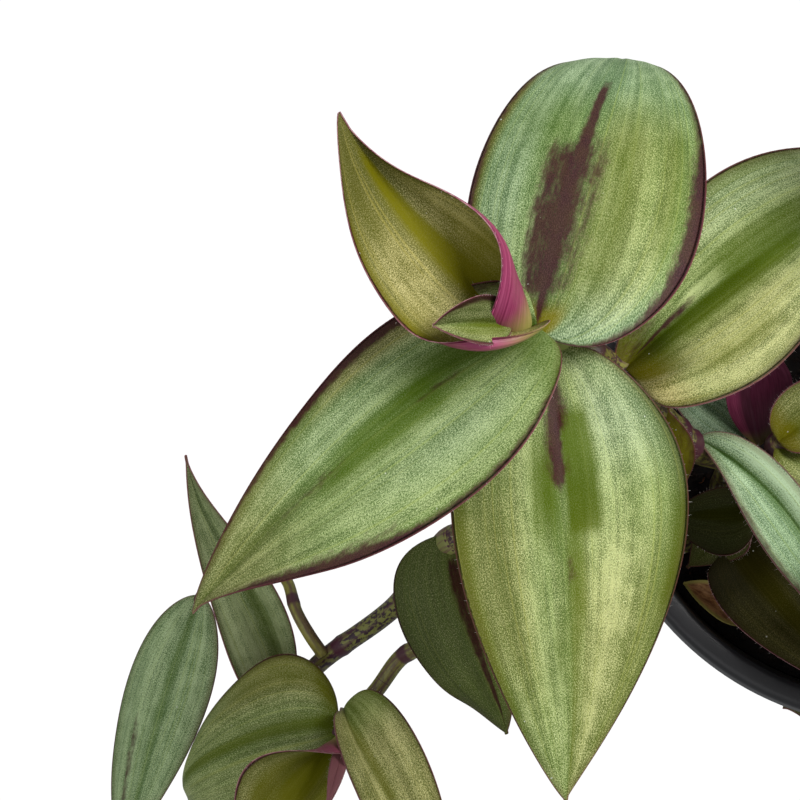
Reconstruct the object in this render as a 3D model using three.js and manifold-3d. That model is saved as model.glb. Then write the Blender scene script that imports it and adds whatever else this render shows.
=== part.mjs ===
// Potted tradescantia: a plastic nursery pot, its soil, and the leafy stems
// that stand in it or hang over its rim. Millimetres, +Z up, origin at the
// middle of the pot's flat base. Each leafy stem is one solid: a jointed stem
// with its blades sunk into it.
import * as THREE from 'three';
import { mergeVertices } from 'three/addons/utils/BufferGeometryUtils.js';
import Module from 'manifold-3d';

const wasm = await Module();
wasm.setup();

// ---- driving dimensions ----------------------------------------------------
const POT = { height: 92, baseRadius: 37.5, rimRadius: 51.4, wall: 1.6, floor: 2, lipWidth: 4.3, skirt: 5,
  sides: 48 };
const DRAIN = { count: 6, ringRadius: 25, radius: 3.6 };
const SOIL = { top: 80, bottom: 2.3, gap: 0.35, bump: 1.1, rings: 5, sides: 30 };
const STEM_FOOT = 67;        // how deep the stems reach into the soil (height of their feet)
const HOLE_GAP = 0.9;        // play round a stem in its hole
const BLADE = 0.8;           // leaf blade thickness
const ROOT_HALF = 0.9;       // least half width of a blade at its root
const TIP_HALF = 0.35;       // and at its tip
const JOINT = { swell: 0.28, reach: 2.4 };   // how much a stem swells at a leaf's root, and over what length
const FINE = { stations: [0, 0.08, 0.2, 0.36, 0.54, 0.72, 0.88, 1], columns: [-1, -0.5, 0, 0.5, 1] };
const PLAIN = { stations: [0, 0.1, 0.3, 0.54, 0.8, 1], columns: [-1, 0, 1] };

// ---- small vector helpers ----------------------------------------------------
const rad = (d) => (d * Math.PI) / 180;
const add = (a, b) => [a[0] + b[0], a[1] + b[1], a[2] + b[2]];
const sub = (a, b) => [a[0] - b[0], a[1] - b[1], a[2] - b[2]];
const mul = (a, k) => [a[0] * k, a[1] * k, a[2] * k];
const dot = (a, b) => a[0] * b[0] + a[1] * b[1] + a[2] * b[2];
const cross = (a, b) => [a[1] * b[2] - a[2] * b[1], a[2] * b[0] - a[0] * b[2], a[0] * b[1] - a[1] * b[0]];
const length = (a) => Math.sqrt(dot(a, a));
const unit = (a) => mul(a, 1 / length(a));
const mix = (a, b, t) => a + (b - a) * t;

// A number from 0 to 1 at each call, the same row of them for the same seed.
function randomFrom(seed) {
  let s = seed;
  return () => {
    s = (s * 16807) % 2147483647;
    return s / 2147483647;
  };
}

// ---- leaves ------------------------------------------------------------------
// A leaf runs from its root to its tip along a bowed midrib. `half` is the
// width of its left and right half, `shape` the two powers of its outline
// (full at the base, long at the tip), `rise` and `sway` bow the midrib up and
// sideways as shares of its length, `fold` lifts each half like a trough,
// `curl` bends it, and `clasp` closes the base round the stem.
const LEAF = {
  shape: [0.6, 1.15], along: [1 / 3, 2 / 3], rise: [0.1, 0.1], sway: [0, 0], fold: [12, 12], curl: [-10, -10],
  clasp: [25, 0, 4], point: [10, 6], wave: 0, waves: 3, face: 1,
};

function leafFrame(leaf) {
  const chord = sub(leaf.tip, leaf.root);
  const c = unit(chord);
  const side = unit(cross(c, [0, 0, leaf.face]));
  const up = cross(side, c);
  const long = length(chord);
  const [p, q] = leaf.shape;
  const peak = p / (p + q);
  return { chord, side, up, long, full: Math.pow(peak, p) * Math.pow(1 - peak, q) };
}

// The point at share u of the midrib and share v of the half width (v > 0 is
// the right half), with the blade's own normal there.
function leafPoint(leaf, frame, u, v) {
  const { chord, side, up, long, full } = frame;
  const lift = (share, rise, sway) =>
    add(leaf.root, add(mul(chord, share), add(mul(up, rise * long), mul(side, sway * long))));
  const P0 = leaf.root;
  const P1 = lift(leaf.along[0], leaf.rise[0], leaf.sway[0]);
  const P2 = lift(leaf.along[1], leaf.rise[1], leaf.sway[1]);
  const P3 = leaf.tip;
  const s = 1 - u;
  const early = add(mul(P0, s * s * s), mul(P1, 3 * s * s * u));
  const late = add(mul(P2, 3 * s * u * u), mul(P3, u * u * u));
  const X = add(early, late);
  const leaving = add(mul(sub(P1, P0), 3 * s * s), mul(sub(P2, P1), 6 * s * u));
  const T = unit(add(leaving, mul(sub(P3, P2), 3 * u * u)));
  const S = unit(sub(side, mul(T, dot(T, side))));
  const N = cross(S, T);
  const right = v >= 0 ? 1 : 0;
  const outline = (Math.pow(u, leaf.shape[0]) * Math.pow(s, leaf.shape[1])) / full;
  const width = Math.max(leaf.half[right] * outline, mix(ROOT_HALF, TIP_HALF, u));
  const near = Math.pow(s, leaf.clasp[2]);
  const fold = rad(leaf.fold[right] + leaf.clasp[0] * near + leaf.point[0] * Math.pow(u, leaf.point[1]));
  let curl = rad(leaf.curl[right] + leaf.clasp[1] * near);
  if (Math.abs(curl) < 0.001) curl = 0.001;
  const q = Math.abs(v);
  const x = (width * (Math.sin(fold + curl * q) - Math.sin(fold))) / curl;
  const swing = Math.sin(u * leaf.waves * 2 * Math.PI + (right ? 0 : 1.7));
  const wave = leaf.wave * swing * q * q * Math.sin(Math.PI * u);
  const z = (width * (Math.cos(fold) - Math.cos(fold + curl * q))) / curl + wave;
  const sign = right ? 1 : -1;
  const tilt = fold + curl * q;
  const normal = q === 0
    ? mul(N, 1 / Math.max(Math.cos(fold), 0.6))
    : add(mul(N, Math.cos(tilt)), mul(S, -sign * Math.sin(tilt)));
  return { at: add(X, add(mul(S, sign * x), mul(N, z))), normal };
}

// A closed blade: the same grid of triangles on the upper and the lower face.
function bladeMesh(leaf, grid) {
  const frame = leafFrame(leaf);
  const rows = grid.stations.length;
  const cols = grid.columns.length;
  const positions = [];
  const indices = [];
  for (const face of [0.5, -0.5]) {
    for (const u of grid.stations) {
      for (const v of grid.columns) {
        const p = leafPoint(leaf, frame, u, v);
        positions.push(...add(p.at, mul(p.normal, face * BLADE)));
      }
    }
  }
  const top = (i, j) => i * cols + j;
  const low = (i, j) => rows * cols + i * cols + j;
  const quad = (a, b, c, d) => indices.push(a, b, c, a, c, d);
  for (let i = 0; i + 1 < rows; i++) {
    for (let j = 0; j + 1 < cols; j++) {
      // side x tipward direction points down, so the upper face runs the other way
      quad(top(i, j), top(i, j + 1), top(i + 1, j + 1), top(i + 1, j));
      indices.push(low(i, j), low(i + 1, j + 1), low(i, j + 1), low(i, j), low(i + 1, j), low(i + 1, j + 1));
    }
    quad(top(i, 0), top(i + 1, 0), low(i + 1, 0), low(i, 0));
    quad(top(i + 1, cols - 1), top(i, cols - 1), low(i, cols - 1), low(i + 1, cols - 1));
  }
  for (let j = 0; j + 1 < cols; j++) {
    quad(top(0, j + 1), top(0, j), low(0, j), low(0, j + 1));
    quad(top(rows - 1, j), top(rows - 1, j + 1), low(rows - 1, j + 1), low(rows - 1, j));
  }
  return solid(positions, indices);
}

// ---- stems -------------------------------------------------------------------
const curveOf = (points) =>
  new THREE.CatmullRomCurve3(points.map((p) => new THREE.Vector3(...p)), false, 'catmullrom', 0.5);
const pointOn = (curve, t) => curve.getPoint(t).toArray();

function nearest(curve, point) {
  let best = 0;
  let least = Infinity;
  for (let i = 0; i <= 240; i++) {
    const d = length(sub(pointOn(curve, i / 240), point));
    if (d < least - 1e-9) {
      least = d;
      best = i / 240;
    }
  }
  return best;
}

// A round stem along a curve, thinner towards its end and swollen at its joints.
function stemMesh(stem, sides) {
  const { curve, rings } = stem;
  const positions = [];
  const indices = [];
  let N = [1, 0, 0];
  for (let i = 0; i <= rings; i++) {
    const t = i / rings;
    const P = pointOn(curve, t);
    const ahead = pointOn(curve, Math.min(t + 0.004, 1));
    const behind = pointOn(curve, Math.max(t - 0.004, 0));
    const T = unit(sub(ahead, behind));
    N = unit(sub(N, mul(T, dot(N, T))));
    const B = cross(T, N);
    const plain = mix(stem.radius[0], stem.radius[1], t);
    let r = plain;
    for (const joint of stem.joints) {
      const off = length(sub(P, pointOn(curve, joint))) / JOINT.reach;
      r = Math.max(r, plain * (1 + JOINT.swell * Math.exp(-off * off)));
    }
    for (let k = 0; k < sides; k++) {
      const a = (2 * Math.PI * k) / sides;
      positions.push(...add(P, add(mul(N, r * Math.cos(a)), mul(B, r * Math.sin(a)))));
    }
  }
  const first = positions.length / 3;
  positions.push(...pointOn(curve, 0), ...pointOn(curve, 1));
  for (let i = 0; i < rings; i++) {
    for (let k = 0; k < sides; k++) {
      const a = i * sides + k;
      const b = i * sides + ((k + 1) % sides);
      indices.push(a, b, b + sides, a, b + sides, a + sides);
    }
  }
  for (let k = 0; k < sides; k++) {
    const n = (k + 1) % sides;
    indices.push(first, n, k, first + 1, rings * sides + k, rings * sides + n);
  }
  return solid(positions, indices);
}

// ---- solids ------------------------------------------------------------------
function solid(positions, indices) {
  const mesh = new wasm.Mesh({
    numProp: 3,
    vertProperties: new Float32Array(positions),
    triVerts: new Uint32Array(indices),
  });
  return new wasm.Manifold(mesh);
}

function solidOf(geometry) {
  const g = geometry.clone();
  g.deleteAttribute('normal');
  g.deleteAttribute('uv');
  const merged = mergeVertices(g, 1e-4);
  return solid(Array.from(merged.attributes.position.array), Array.from(merged.index.array));
}

function geometryOf(manifold) {
  const mesh = manifold.getMesh();
  const positions = new Float32Array(mesh.numVert * 3);
  for (let i = 0; i < mesh.numVert; i++) {
    for (let k = 0; k < 3; k++) positions[i * 3 + k] = mesh.vertProperties[i * mesh.numProp + k];
  }
  const geometry = new THREE.BufferGeometry();
  geometry.setAttribute('position', new THREE.BufferAttribute(positions, 3));
  geometry.setIndex(new THREE.BufferAttribute(new Uint32Array(mesh.triVerts), 1));
  geometry.computeVertexNormals();
  return geometry;
}

// ---- the stems and leaves that lean left, placed one by one -------------------
const foot = (x, y) => [[x, y, STEM_FOOT], [x, y, 74], [x, y, 81]];

const PLACED = [
  {
    // the tall stem that carries the crown of large leaves
    name: 'leafy_stem_crown',
    grid: FINE,
    stems: [
      {
        radius: [2.9, 1.5],
        path: [...foot(-27.5, -8), [-30.5, -7, 97], [-35.5, -5, 112], [-43.5, 0.5, 128], [-50, 3, 137],
          [-57.5, 4, 144.5], [-63.5, 4.5, 149.5], [-69.5, 5, 154.5]],
      },
    ],
    leaves: [
      { root: [-62.5, 4.5, 149], tip: [-118, -37, 137], half: [14.5, 15.5], shape: [0.5, 1.05],
        rise: [0.1, 0.16], sway: [-0.01, 0.02], fold: [10, 14], curl: [-25, -30], clasp: [25, 0, 3] },
      { root: [-61.5, 4.4, 148], tip: [-49, 54, 116], half: [16.8, 20], shape: [0.34, 0.72],
        along: [0.35, 1], rise: [0.18, 0.34], sway: [-0.04, -0.01], fold: [6, 6], curl: [-12, -10],
        clasp: [0, 0, 3] },
      { root: [-67, 4.5, 151.5], tip: [-94.5, 32.5, 174], half: [19.3, 18], shape: [0.5, 1.45],
        rise: [0, -0.02], sway: [-0.05, -0.06], fold: [8, 38], curl: [8, 30], clasp: [48, 40, 2.2],
        point: [25, 3] },
      { root: [-67.9, 4.8, 153], tip: [-80.5, 4, 159], half: [5, 5], shape: [0.6, 0.8], fold: [55, 35],
        curl: [10, 10], clasp: [15, 0, 3] },
      { root: [-55.5, 4, 143], tip: [-60, -65, 134], half: [17.4, 19.3], shape: [0.62, 1.1],
        rise: [0.08, 0.1], sway: [0.01, 0.03], fold: [8, 8], curl: [-12, -16] },
      { root: [-50, 3, 137], tip: [-0.5, 44, 126], half: [16.5, 18.5], shape: [0.45, 1.15],
        rise: [0.11, 0.14], sway: [0.01, 0.02], fold: [14, 14], curl: [-22, -22] },
      { root: [-38, -3, 116.5], tip: [-44, -29.5, 104], half: [6, 9], shape: [0.4, 1], rise: [0.12, 0.12],
        fold: [-20, 0] },
      { root: [-35.5, -5, 112], tip: [-6.5, -47.5, 100], half: [10.5, 11], shape: [0.62, 1],
        rise: [0.16, 0.1], sway: [-0.13, -0.07], fold: [48, 40], curl: [-45, -35], clasp: [15, 0, 3] },
    ],
  },
  {
    // the forked stem that hangs over the rim and carries the lower cluster
    name: 'leafy_stem_trailing',
    grid: FINE,
    stems: [
      {
        radius: [2.6, 1.7],
        path: [...foot(-33.5, -17.5), [-39.5, -20.5, 94.5], [-48.5, -22.5, 99.5], [-60.5, -20.5, 100],
          [-75, -19, 94], [-87, -29.5, 74.5], [-100, -38, 66], [-106, -45.5, 58]],
      },
      {
        radius: [1.9, 1.4],
        path: [[-48.5, -22.5, 99.5], [-54.5, -30, 101], [-62.5, -37, 95.5], [-72.5, -38, 84],
          [-83.5, -37, 74.5], [-90, -44, 70.5], [-97, -52.5, 72]],
      },
      {
        radius: [1.2, 1],
        path: [[-99.5, -37, 67], [-102, -33.5, 68.5], [-104.5, -29, 68.5], [-106.5, -23, 65],
          [-111, -19.5, 62], [-118, -21, 58], [-123.5, -26, 55]],
      },
    ],
    leaves: [
      { root: [-76, -19.5, 93], tip: [-65.5, -52.5, 83], half: [8, 14.5], shape: [0.34, 0.95],
        rise: [0.16, 0.22], sway: [0, 0.02], fold: [5, 5], curl: [-10, -20], wave: 1.5, waves: 2 },
      { root: [-105, -45, 58.5], tip: [-124, -2.5, 80], half: [10.5, 6.8], shape: [0.5, 1.25],
        rise: [0, -0.03], sway: [0.03, -0.03], fold: [35, 30], curl: [10, 10], clasp: [30, 0, 3],
        point: [20, 3] },
      { root: [-96.5, -51.5, 71.5], tip: [-119, -64, 46], half: [9, 18.5], shape: [0.3, 0.72],
        along: [0.08, 0.95], rise: [0.3, 0.28], sway: [0.12, 0.02], fold: [8, 5], curl: [-10, -25],
        clasp: [30, 0, 4] },
      { root: [-93.5, -48, 71], tip: [-79.5, -84, 60], half: [8.6, 11], shape: [0.42, 0.85],
        along: [-0.04, 0.6], rise: [0.3, 0.22], sway: [-0.04, -0.04], fold: [5, 30], curl: [-20, -10] },
      { root: [-96, -52.5, 72], tip: [-114, -77.5, 84], half: [13, 11], shape: [0.5, 1.1], rise: [0, -0.02],
        fold: [25, 30], curl: [10, 10], clasp: [40, 30, 2.4] },
      { root: [-96, -52.5, 72], tip: [-100, -65.5, 78], half: [5, 5], shape: [0.5, 1.1], rise: [0.05, 0.02],
        fold: [55, 30], curl: [10, 10], clasp: [20, 0, 3] },
      { root: [-122, -25.5, 55.5], tip: [-138.5, -75, 38], half: [9, 10], shape: [0.5, 0.95],
        rise: [0.12, 0.16], sway: [0.02, 0.02], fold: [6, -12], curl: [-20, -30] },
    ],
  },
  {
    // the short stem in the middle of the pot with the young rosette
    name: 'leafy_stem_heart',
    grid: PLAIN,
    stems: [
      { radius: [2.3, 1.4], path: [...foot(-16.5, -10), [-20, -7, 96], [-21.5, -5, 107], [-21, -4, 111]] },
    ],
    leaves: [
      { root: [-21.5, -4.8, 108.5], tip: [-4, 7.5, 112], half: [6.5, 6], shape: [0.45, 1.1],
        fold: [20, 20] },
      { root: [-21.5, -5, 107], tip: [-6, -11, 108], half: [6, 7], shape: [0.45, 1.1], fold: [20, 20] },
      { root: [-18.5, -8, 89], tip: [-22, 13, 112], half: [7.5, 7.5], shape: [0.45, 0.9], fold: [-20, -30],
        face: -1 },
      { root: [-20.5, -6, 99], tip: [-40.5, 10, 98], half: [5, 9.5], shape: [0.45, 1.1] },
    ],
  },
  {
    // the low stem whose dark leaves lie over the front of the soil
    name: 'leafy_stem_low',
    grid: PLAIN,
    stems: [
      {
        radius: [2.2, 1.4],
        path: [...foot(-24.5, -22), [-27.5, -19.5, 89], [-27, -17, 95], [-23.5, -15, 99]],
      },
    ],
    leaves: [
      { root: [-27.8, -19, 90], tip: [-5, -47.5, 97], half: [12, 9], shape: [0.5, 0.95], rise: [0.08, 0.12],
        sway: [0.03, 0.05], fold: [10, 10] },
      { root: [-25, -15.5, 97.5], tip: [-35, -23.5, 87], half: [5.5, 5], shape: [0.5, 1.2],
        rise: [0.05, 0.05], sway: [0.1, 0] },
      { root: [-24, -15, 98], tip: [-40, -15.5, 93], half: [8, 4.5], shape: [0.5, 1.2] },
    ],
  },
];

// The dry, curled leaf that lies on the soil, on a stub that stands in it.
const WITHERED = {
  name: 'withered_leaf',
  grid: PLAIN,
  stems: [{ radius: [1, 0.8], path: [[-23, -32, 75], [-23, -32, 79], [-23.5, -31.8, 82.8]] }],
  leaves: [
    { root: [-23.4, -31.8, 82.2], tip: [-35.5, -26, 85], half: [5, 5], shape: [0.55, 0.8],
      rise: [0.08, 0.1], fold: [30, 35], curl: [30, 40], clasp: [0, 0, 3], wave: 0.4, waves: 2 },
  ],
};

// ---- the rest of the plant, grown by rule --------------------------------------
// root: where it stands in the soil; heading and swing: the way it goes and how
// far it turns on the way; reach: how far it gets; crest and tip: its heights;
// given: leaves on it that are placed by hand.
const GROWN = [
  { name: 'leafy_stem_back', root: [0, 30], heading: 76, swing: -16, reach: 82,
    crest: 122, tip: 68, leaves: 8, size: 58, seed: 11 },
  { name: 'leafy_stem_back_right', root: [19, 24], heading: 46, swing: 18, reach: 88,
    crest: 116, tip: 44, leaves: 9, size: 58, seed: 23 },
  { name: 'leafy_stem_right', root: [33, 5], heading: 12, swing: -22, reach: 88,
    crest: 126, tip: 62, leaves: 9, size: 62, seed: 37 },
  { name: 'leafy_stem_front_right', root: [27, -19], heading: -34, swing: 16, reach: 86,
    crest: 112, tip: 34, leaves: 9, size: 56, seed: 41 },
  { name: 'leafy_stem_front', root: [12, -31], heading: -68, swing: 18, reach: 80,
    crest: 120, tip: 62, leaves: 8, size: 60, seed: 53 },
  { name: 'leafy_stem_front_low', root: [-4, -37], heading: -82, swing: 6, reach: 48,
    crest: 106, tip: 40, leaves: 6, size: 44, seed: 67,
    given: [
      { root: [-3, -68, 86], tip: [-14.8, -46.1, 60], half: [2.6, 4], shape: [0.5, 0.8], along: [0.3, 0.8],
        rise: [0.1, 0], sway: [0, 0.165] },
    ] },
  { name: 'leafy_stem_top', root: [5, 6], heading: 30, swing: 30, reach: 34,
    crest: 132, tip: 158, leaves: 7, size: 62, seed: 71 },
  { name: 'leafy_stem_top_front', root: [13, -10], heading: -58, swing: 24, reach: 46,
    crest: 134, tip: 152, leaves: 7, size: 56, seed: 83 },
  { name: 'leafy_stem_top_back', root: [9, 19], heading: 78, swing: -20, reach: 44,
    crest: 138, tip: 150, leaves: 7, size: 58, seed: 97 },
  { name: 'leafy_stem_side', root: [23, -3], heading: -4, swing: 10, reach: 44,
    crest: 148, tip: 158, leaves: 7, size: 58, seed: 103 },
];
const EDGE_LEFT = -11.5;       // grown leaves stay to the right of this plane,
const EDGE_LEAN = 0.156;       // which leans left as it goes up

function grownPath(s) {
  const [x, y] = s.root;
  const at = (share, turn, z) => {
    const a = rad(s.heading + s.swing * turn);
    return [x + s.reach * share * Math.cos(a), y + s.reach * share * Math.sin(a), z];
  };
  return [...foot(x, y), at(0.14, 0, mix(82, s.crest, 0.6)), at(0.4, 0.3, s.crest),
    at(0.7, 0.6, mix(s.crest, s.tip, 0.36)), at(0.9, 0.9, mix(s.crest, s.tip, 0.94)), at(1.05, 1.1, s.tip)];
}

// Cells of space that a stem or a leaf already fills.
const CELL = 3.8;
const SHIFT = 0.37;
const taken = new Map();
const cellOf = (p) => p.map((c) => Math.floor(c / CELL + SHIFT));
const keyOf = (i, j, k) => ((i + 512) * 1024 + (j + 512)) * 1024 + (k + 512);
const take = (p, owner) => {
  const [i, j, k] = cellOf(p);
  const key = keyOf(i, j, k);
  if (!taken.has(key)) taken.set(key, owner);
};
const AROUND = [[0, 0, 0], [1, 0, 0], [-1, 0, 0], [0, 1, 0], [0, -1, 0], [0, 0, 1], [0, 0, -1]];
function isTaken(p, ownStem) {
  const [i, j, k] = cellOf(p);
  return AROUND.some(([a, b, c]) => {
    const owner = taken.get(keyOf(i + a, j + b, k + c));
    return owner !== undefined && owner !== ownStem;
  });
}
function isBarred([x, y, z]) {
  const r = Math.hypot(x, y);
  if (z < 3) return true;
  if (z < 97 && r < 42 + 0.15 * z && !(z > 85 && r < 44)) return true;
  return x + EDGE_LEAN * (z - POT.height) < EDGE_LEFT;
}
function leafSamples(leaf) {
  const frame = leafFrame(leaf);
  const points = [];
  for (let i = 0; i <= 14; i++) {
    for (let j = -3; j <= 3; j++) points.push(leafPoint(leaf, frame, 0.2 + (0.8 * i) / 14, j / 3).at);
  }
  return points;
}
function takeStem(curve, owner) {
  for (let i = 0; i <= 90; i++) take(pointOn(curve, i / 90), owner);
}

// The turns, lifts and sizes a leaf tries, in this order, until it is clear.
const TRIES = [
  [0, 0, 1], [12, 4, 1], [-12, 4, 1], [0, 14, 1], [0, -14, 1], [24, 10, 1], [-24, 10, 1], [24, -12, 1],
  [-24, -12, 1], [0, 26, 1], [38, 0, 1], [-38, 0, 1], [0, -28, 1], [0, 0, 0.8], [18, 16, 0.8],
  [-18, 16, 0.8], [18, -16, 0.8], [-18, -16, 0.8], [0, 36, 0.8], [50, 0, 0.8], [-50, 0, 0.8],
  [0, 0, 0.62], [28, 22, 0.62], [-28, 22, 0.62], [28, -22, 0.62], [-28, -22, 0.62], [0, 48, 0.62],
  [60, 10, 0.62], [-60, 10, 0.62],
];

function growLeaves(s, curve) {
  const random = randomFrom(s.seed);
  const leaves = [];
  for (let i = 0; i < s.leaves; i++) {
    const share = i / (s.leaves - 1);
    const last = i === s.leaves - 1;
    const t = mix(0.4, 0.985, share);
    const root = pointOn(curve, t);
    const along = sub(pointOn(curve, Math.min(t + 0.02, 1)), pointOn(curve, t - 0.02));
    const course = Math.atan2(along[1], along[0]);
    const side = i % 2 ? 1 : -1;
    const turn = last ? 8 * side : side * (mix(78, 44, share) + 16 * (random() - 0.5));
    const lift = last ? 34 : mix(6, 16, share) + 18 * (random() - 0.5);
    const long = s.size * (1 - 0.42 * share * share) * (0.9 + 0.2 * random()) * (last ? 0.55 : 1);
    const wide = 0.5 * long * mix(0.5, 0.56, random()) * (last ? 0.8 : 1);
    const trough = last ? 34 : mix(6, 20, random());
    const bow = mix(0.08, 0.16, random());
    for (const [yaw, pitch, scale] of TRIES) {
      const a = course + rad(turn + yaw);
      const b = rad(lift + pitch);
      const reach = long * scale;
      const leaf = {
        ...LEAF, root,
        tip: add(root, mul([Math.cos(a) * Math.cos(b), Math.sin(a) * Math.cos(b), Math.sin(b)], reach)),
        half: [wide * scale, wide * scale], shape: [0.55, 1.1], rise: [bow, bow + 0.03],
        fold: [trough, trough], curl: [-18, -18], clasp: [22, 0, 3],
      };
      const points = leafSamples(leaf);
      if (points.some((p) => isBarred(p) || isTaken(p, s.name))) continue;
      points.forEach((p) => take(p, 'leaf'));
      leaves.push(leaf);
      break;
    }
  }
  return leaves;
}

// ---- assembling the leafy stems -------------------------------------------------
const plants = [];
for (const plant of [...PLACED, WITHERED]) {
  const stems = plant.stems.map((stem) => ({ ...stem, curve: curveOf(stem.path), joints: [] }));
  const leaves = plant.leaves.map((given) => {
    const leaf = { ...LEAF, ...given };
    const near = stems.map((stem) => nearest(stem.curve, leaf.root));
    const gaps = stems.map((stem, k) => length(sub(pointOn(stem.curve, near[k]), leaf.root)));
    const k = gaps.indexOf(Math.min(...gaps));
    stems[k].joints.push(near[k]);
    return { ...leaf, root: pointOn(stems[k].curve, near[k]) };
  });
  stems.forEach((stem) => takeStem(stem.curve, plant.name));
  leaves.forEach((leaf) => leafSamples(leaf).forEach((p) => take(p, 'leaf')));
  plants.push({ name: plant.name, stems, leaves, grid: plant.grid, sides: 7 });
}
const grownCurves = GROWN.map((s) => curveOf(grownPath(s)));
GROWN.forEach((s, k) => takeStem(grownCurves[k], s.name));
const givenLeaves = GROWN.map((s, k) => (s.given ?? []).map((leaf) => {
  const root = pointOn(grownCurves[k], nearest(grownCurves[k], leaf.root));
  return { ...LEAF, ...leaf, root };
}));
givenLeaves.flat().forEach((leaf) => leafSamples(leaf).forEach((p) => take(p, 'leaf')));
GROWN.forEach((s, k) => {
  const leaves = [...givenLeaves[k], ...growLeaves(s, grownCurves[k])];
  const joints = leaves.map((leaf) => nearest(grownCurves[k], leaf.root));
  plants.push({
    name: s.name, leaves, grid: PLAIN, sides: 5,
    stems: [{ radius: [2.4, 1.3], curve: grownCurves[k], joints }],
  });
});

function plantSolid(plant) {
  let whole = null;
  for (const stem of plant.stems) {
    const rings = Math.max(8, Math.round(stem.curve.getLength() / (plant.grid === FINE ? 8 : 10)));
    const piece = stemMesh({ ...stem, rings }, plant.sides);
    whole = whole ? whole.add(piece) : piece;
  }
  for (const leaf of plant.leaves) whole = whole.add(bladeMesh(leaf, plant.grid));
  return whole;
}

// ---- pot -------------------------------------------------------------------------
// A turned profile: flat base, tapered wall, and a lip rolled out and down into
// a short skirt that hangs free of the wall.
function wallRadius(z) {
  const top = POT.rimRadius - POT.lipWidth + 1.0;
  return mix(POT.baseRadius, top, z / POT.height);
}
function potSolid() {
  const { height: h, rimRadius: R, wall: w, floor, lipWidth, skirt } = POT;
  const inner = R - lipWidth;
  const profile = [
    [0, 0], [POT.baseRadius - 1.2, 0], [POT.baseRadius, 1.2], [wallRadius(h - skirt), h - skirt],
    [wallRadius(h - 3) + 0.1, h - 3], [R - 1.4, h - 3.2], [R - 1.4, h - skirt], [R, h - skirt], [R, h - 1.6],
    [R - 0.5, h - 0.5], [R - 1.5, h], [inner + 1.3, h], [inner + 0.4, h - 0.5], [inner, h - 1.6],
    [wallRadius(h - skirt) - w, h - skirt], [wallRadius(floor) - w, floor], [0, floor],
  ].map(([x, z]) => new THREE.Vector2(x, z));
  const lathe = new THREE.LatheGeometry(profile, POT.sides);
  lathe.rotateX(Math.PI / 2);
  let pot = solidOf(lathe);
  for (let i = 0; i < DRAIN.count; i++) {
    const a = (2 * Math.PI * i) / DRAIN.count + 0.26;
    const drill = new THREE.CylinderGeometry(DRAIN.radius, DRAIN.radius, 8, 20);
    drill.rotateX(Math.PI / 2);
    drill.translate(DRAIN.ringRadius * Math.cos(a), DRAIN.ringRadius * Math.sin(a), 1);
    pot = pot.subtract(solidOf(drill));
  }
  return pot;
}

// ---- soil ------------------------------------------------------------------------
const bumps = (x, y) =>
  0.5 * SOIL.bump * (Math.sin(0.21 * x + 1.3) * Math.cos(0.19 * y)
    + Math.sin(0.33 * (x + y)) * Math.cos(0.27 * (x - y) + 0.8));
function soilSolid() {
  const edge = wallRadius(SOIL.top) - POT.wall - SOIL.gap - 0.2;
  const base = wallRadius(SOIL.bottom) - POT.wall - SOIL.gap - 0.2;
  const positions = [0, 0, SOIL.top + bumps(0, 0)];
  const indices = [];
  for (let i = 1; i <= SOIL.rings; i++) {
    for (let k = 0; k < SOIL.sides; k++) {
      const a = (2 * Math.PI * k) / SOIL.sides;
      const r = (edge * i) / SOIL.rings;
      const x = r * Math.cos(a);
      const y = r * Math.sin(a);
      positions.push(x, y, SOIL.top + (i === SOIL.rings ? 0 : bumps(x, y)));
    }
  }
  for (let k = 0; k < SOIL.sides; k++) {
    const a = (2 * Math.PI * k) / SOIL.sides;
    positions.push(base * Math.cos(a), base * Math.sin(a), SOIL.bottom);
  }
  const last = positions.length / 3;
  positions.push(0, 0, SOIL.bottom);
  for (let k = 0; k < SOIL.sides; k++) {
    const n = (k + 1) % SOIL.sides;
    indices.push(0, 1 + k, 1 + n);
    for (let i = 0; i < SOIL.rings; i++) {
      const a = 1 + i * SOIL.sides;
      indices.push(a + k, a + SOIL.sides + k, a + SOIL.sides + n, a + k, a + SOIL.sides + n, a + n);
    }
    const b = 1 + SOIL.rings * SOIL.sides;
    indices.push(last, b + n, b + k);
  }
  let soil = solid(positions, indices);
  for (const plant of plants) {
    const stem = plant.stems[0];
    const [x, y, z] = pointOn(stem.curve, 0);
    const radius = stem.radius[0] + HOLE_GAP;
    const drill = new THREE.CylinderGeometry(radius, radius, 30, 16);
    drill.rotateX(Math.PI / 2);
    drill.translate(x, y, z - 0.6 + 15);
    soil = soil.subtract(solidOf(drill));
  }
  return soil;
}

// ---- the object ------------------------------------------------------------------
const plastic = new THREE.MeshStandardMaterial({ color: '#1b1c1e', roughness: 0.38, metalness: 0 });
const earth = new THREE.MeshStandardMaterial({ color: '#17120e', roughness: 0.95, metalness: 0 });
const green = new THREE.MeshStandardMaterial({ color: '#6b8552', roughness: 0.45, metalness: 0 });
const dry = new THREE.MeshStandardMaterial({ color: '#7d5a34', roughness: 0.8, metalness: 0 });

const object = new THREE.Group();
function place(name, manifold, material) {
  const mesh = new THREE.Mesh(geometryOf(manifold), material);
  mesh.name = name;
  object.add(mesh);
}
place('pot', potSolid(), plastic);
place('soil', soilSolid(), earth);
for (const plant of plants) place(plant.name, plantSolid(plant), plant.name === WITHERED.name ? dry : green);

export default object;
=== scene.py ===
"""Potted tradescantia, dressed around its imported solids.

Each leafy stem is grown again here from the same named values as its solid, with fine blades in
place of plain ones: grooved midribs, soft pleats, thin purple margins, sheaths at the joints and
hairs. `finer` holds what the photograph shows of a stem or a leaf more closely than its solid
does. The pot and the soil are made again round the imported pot's own box. Lengths are millimetres
until a mesh is made, and metres after that.
"""
import math

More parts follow.
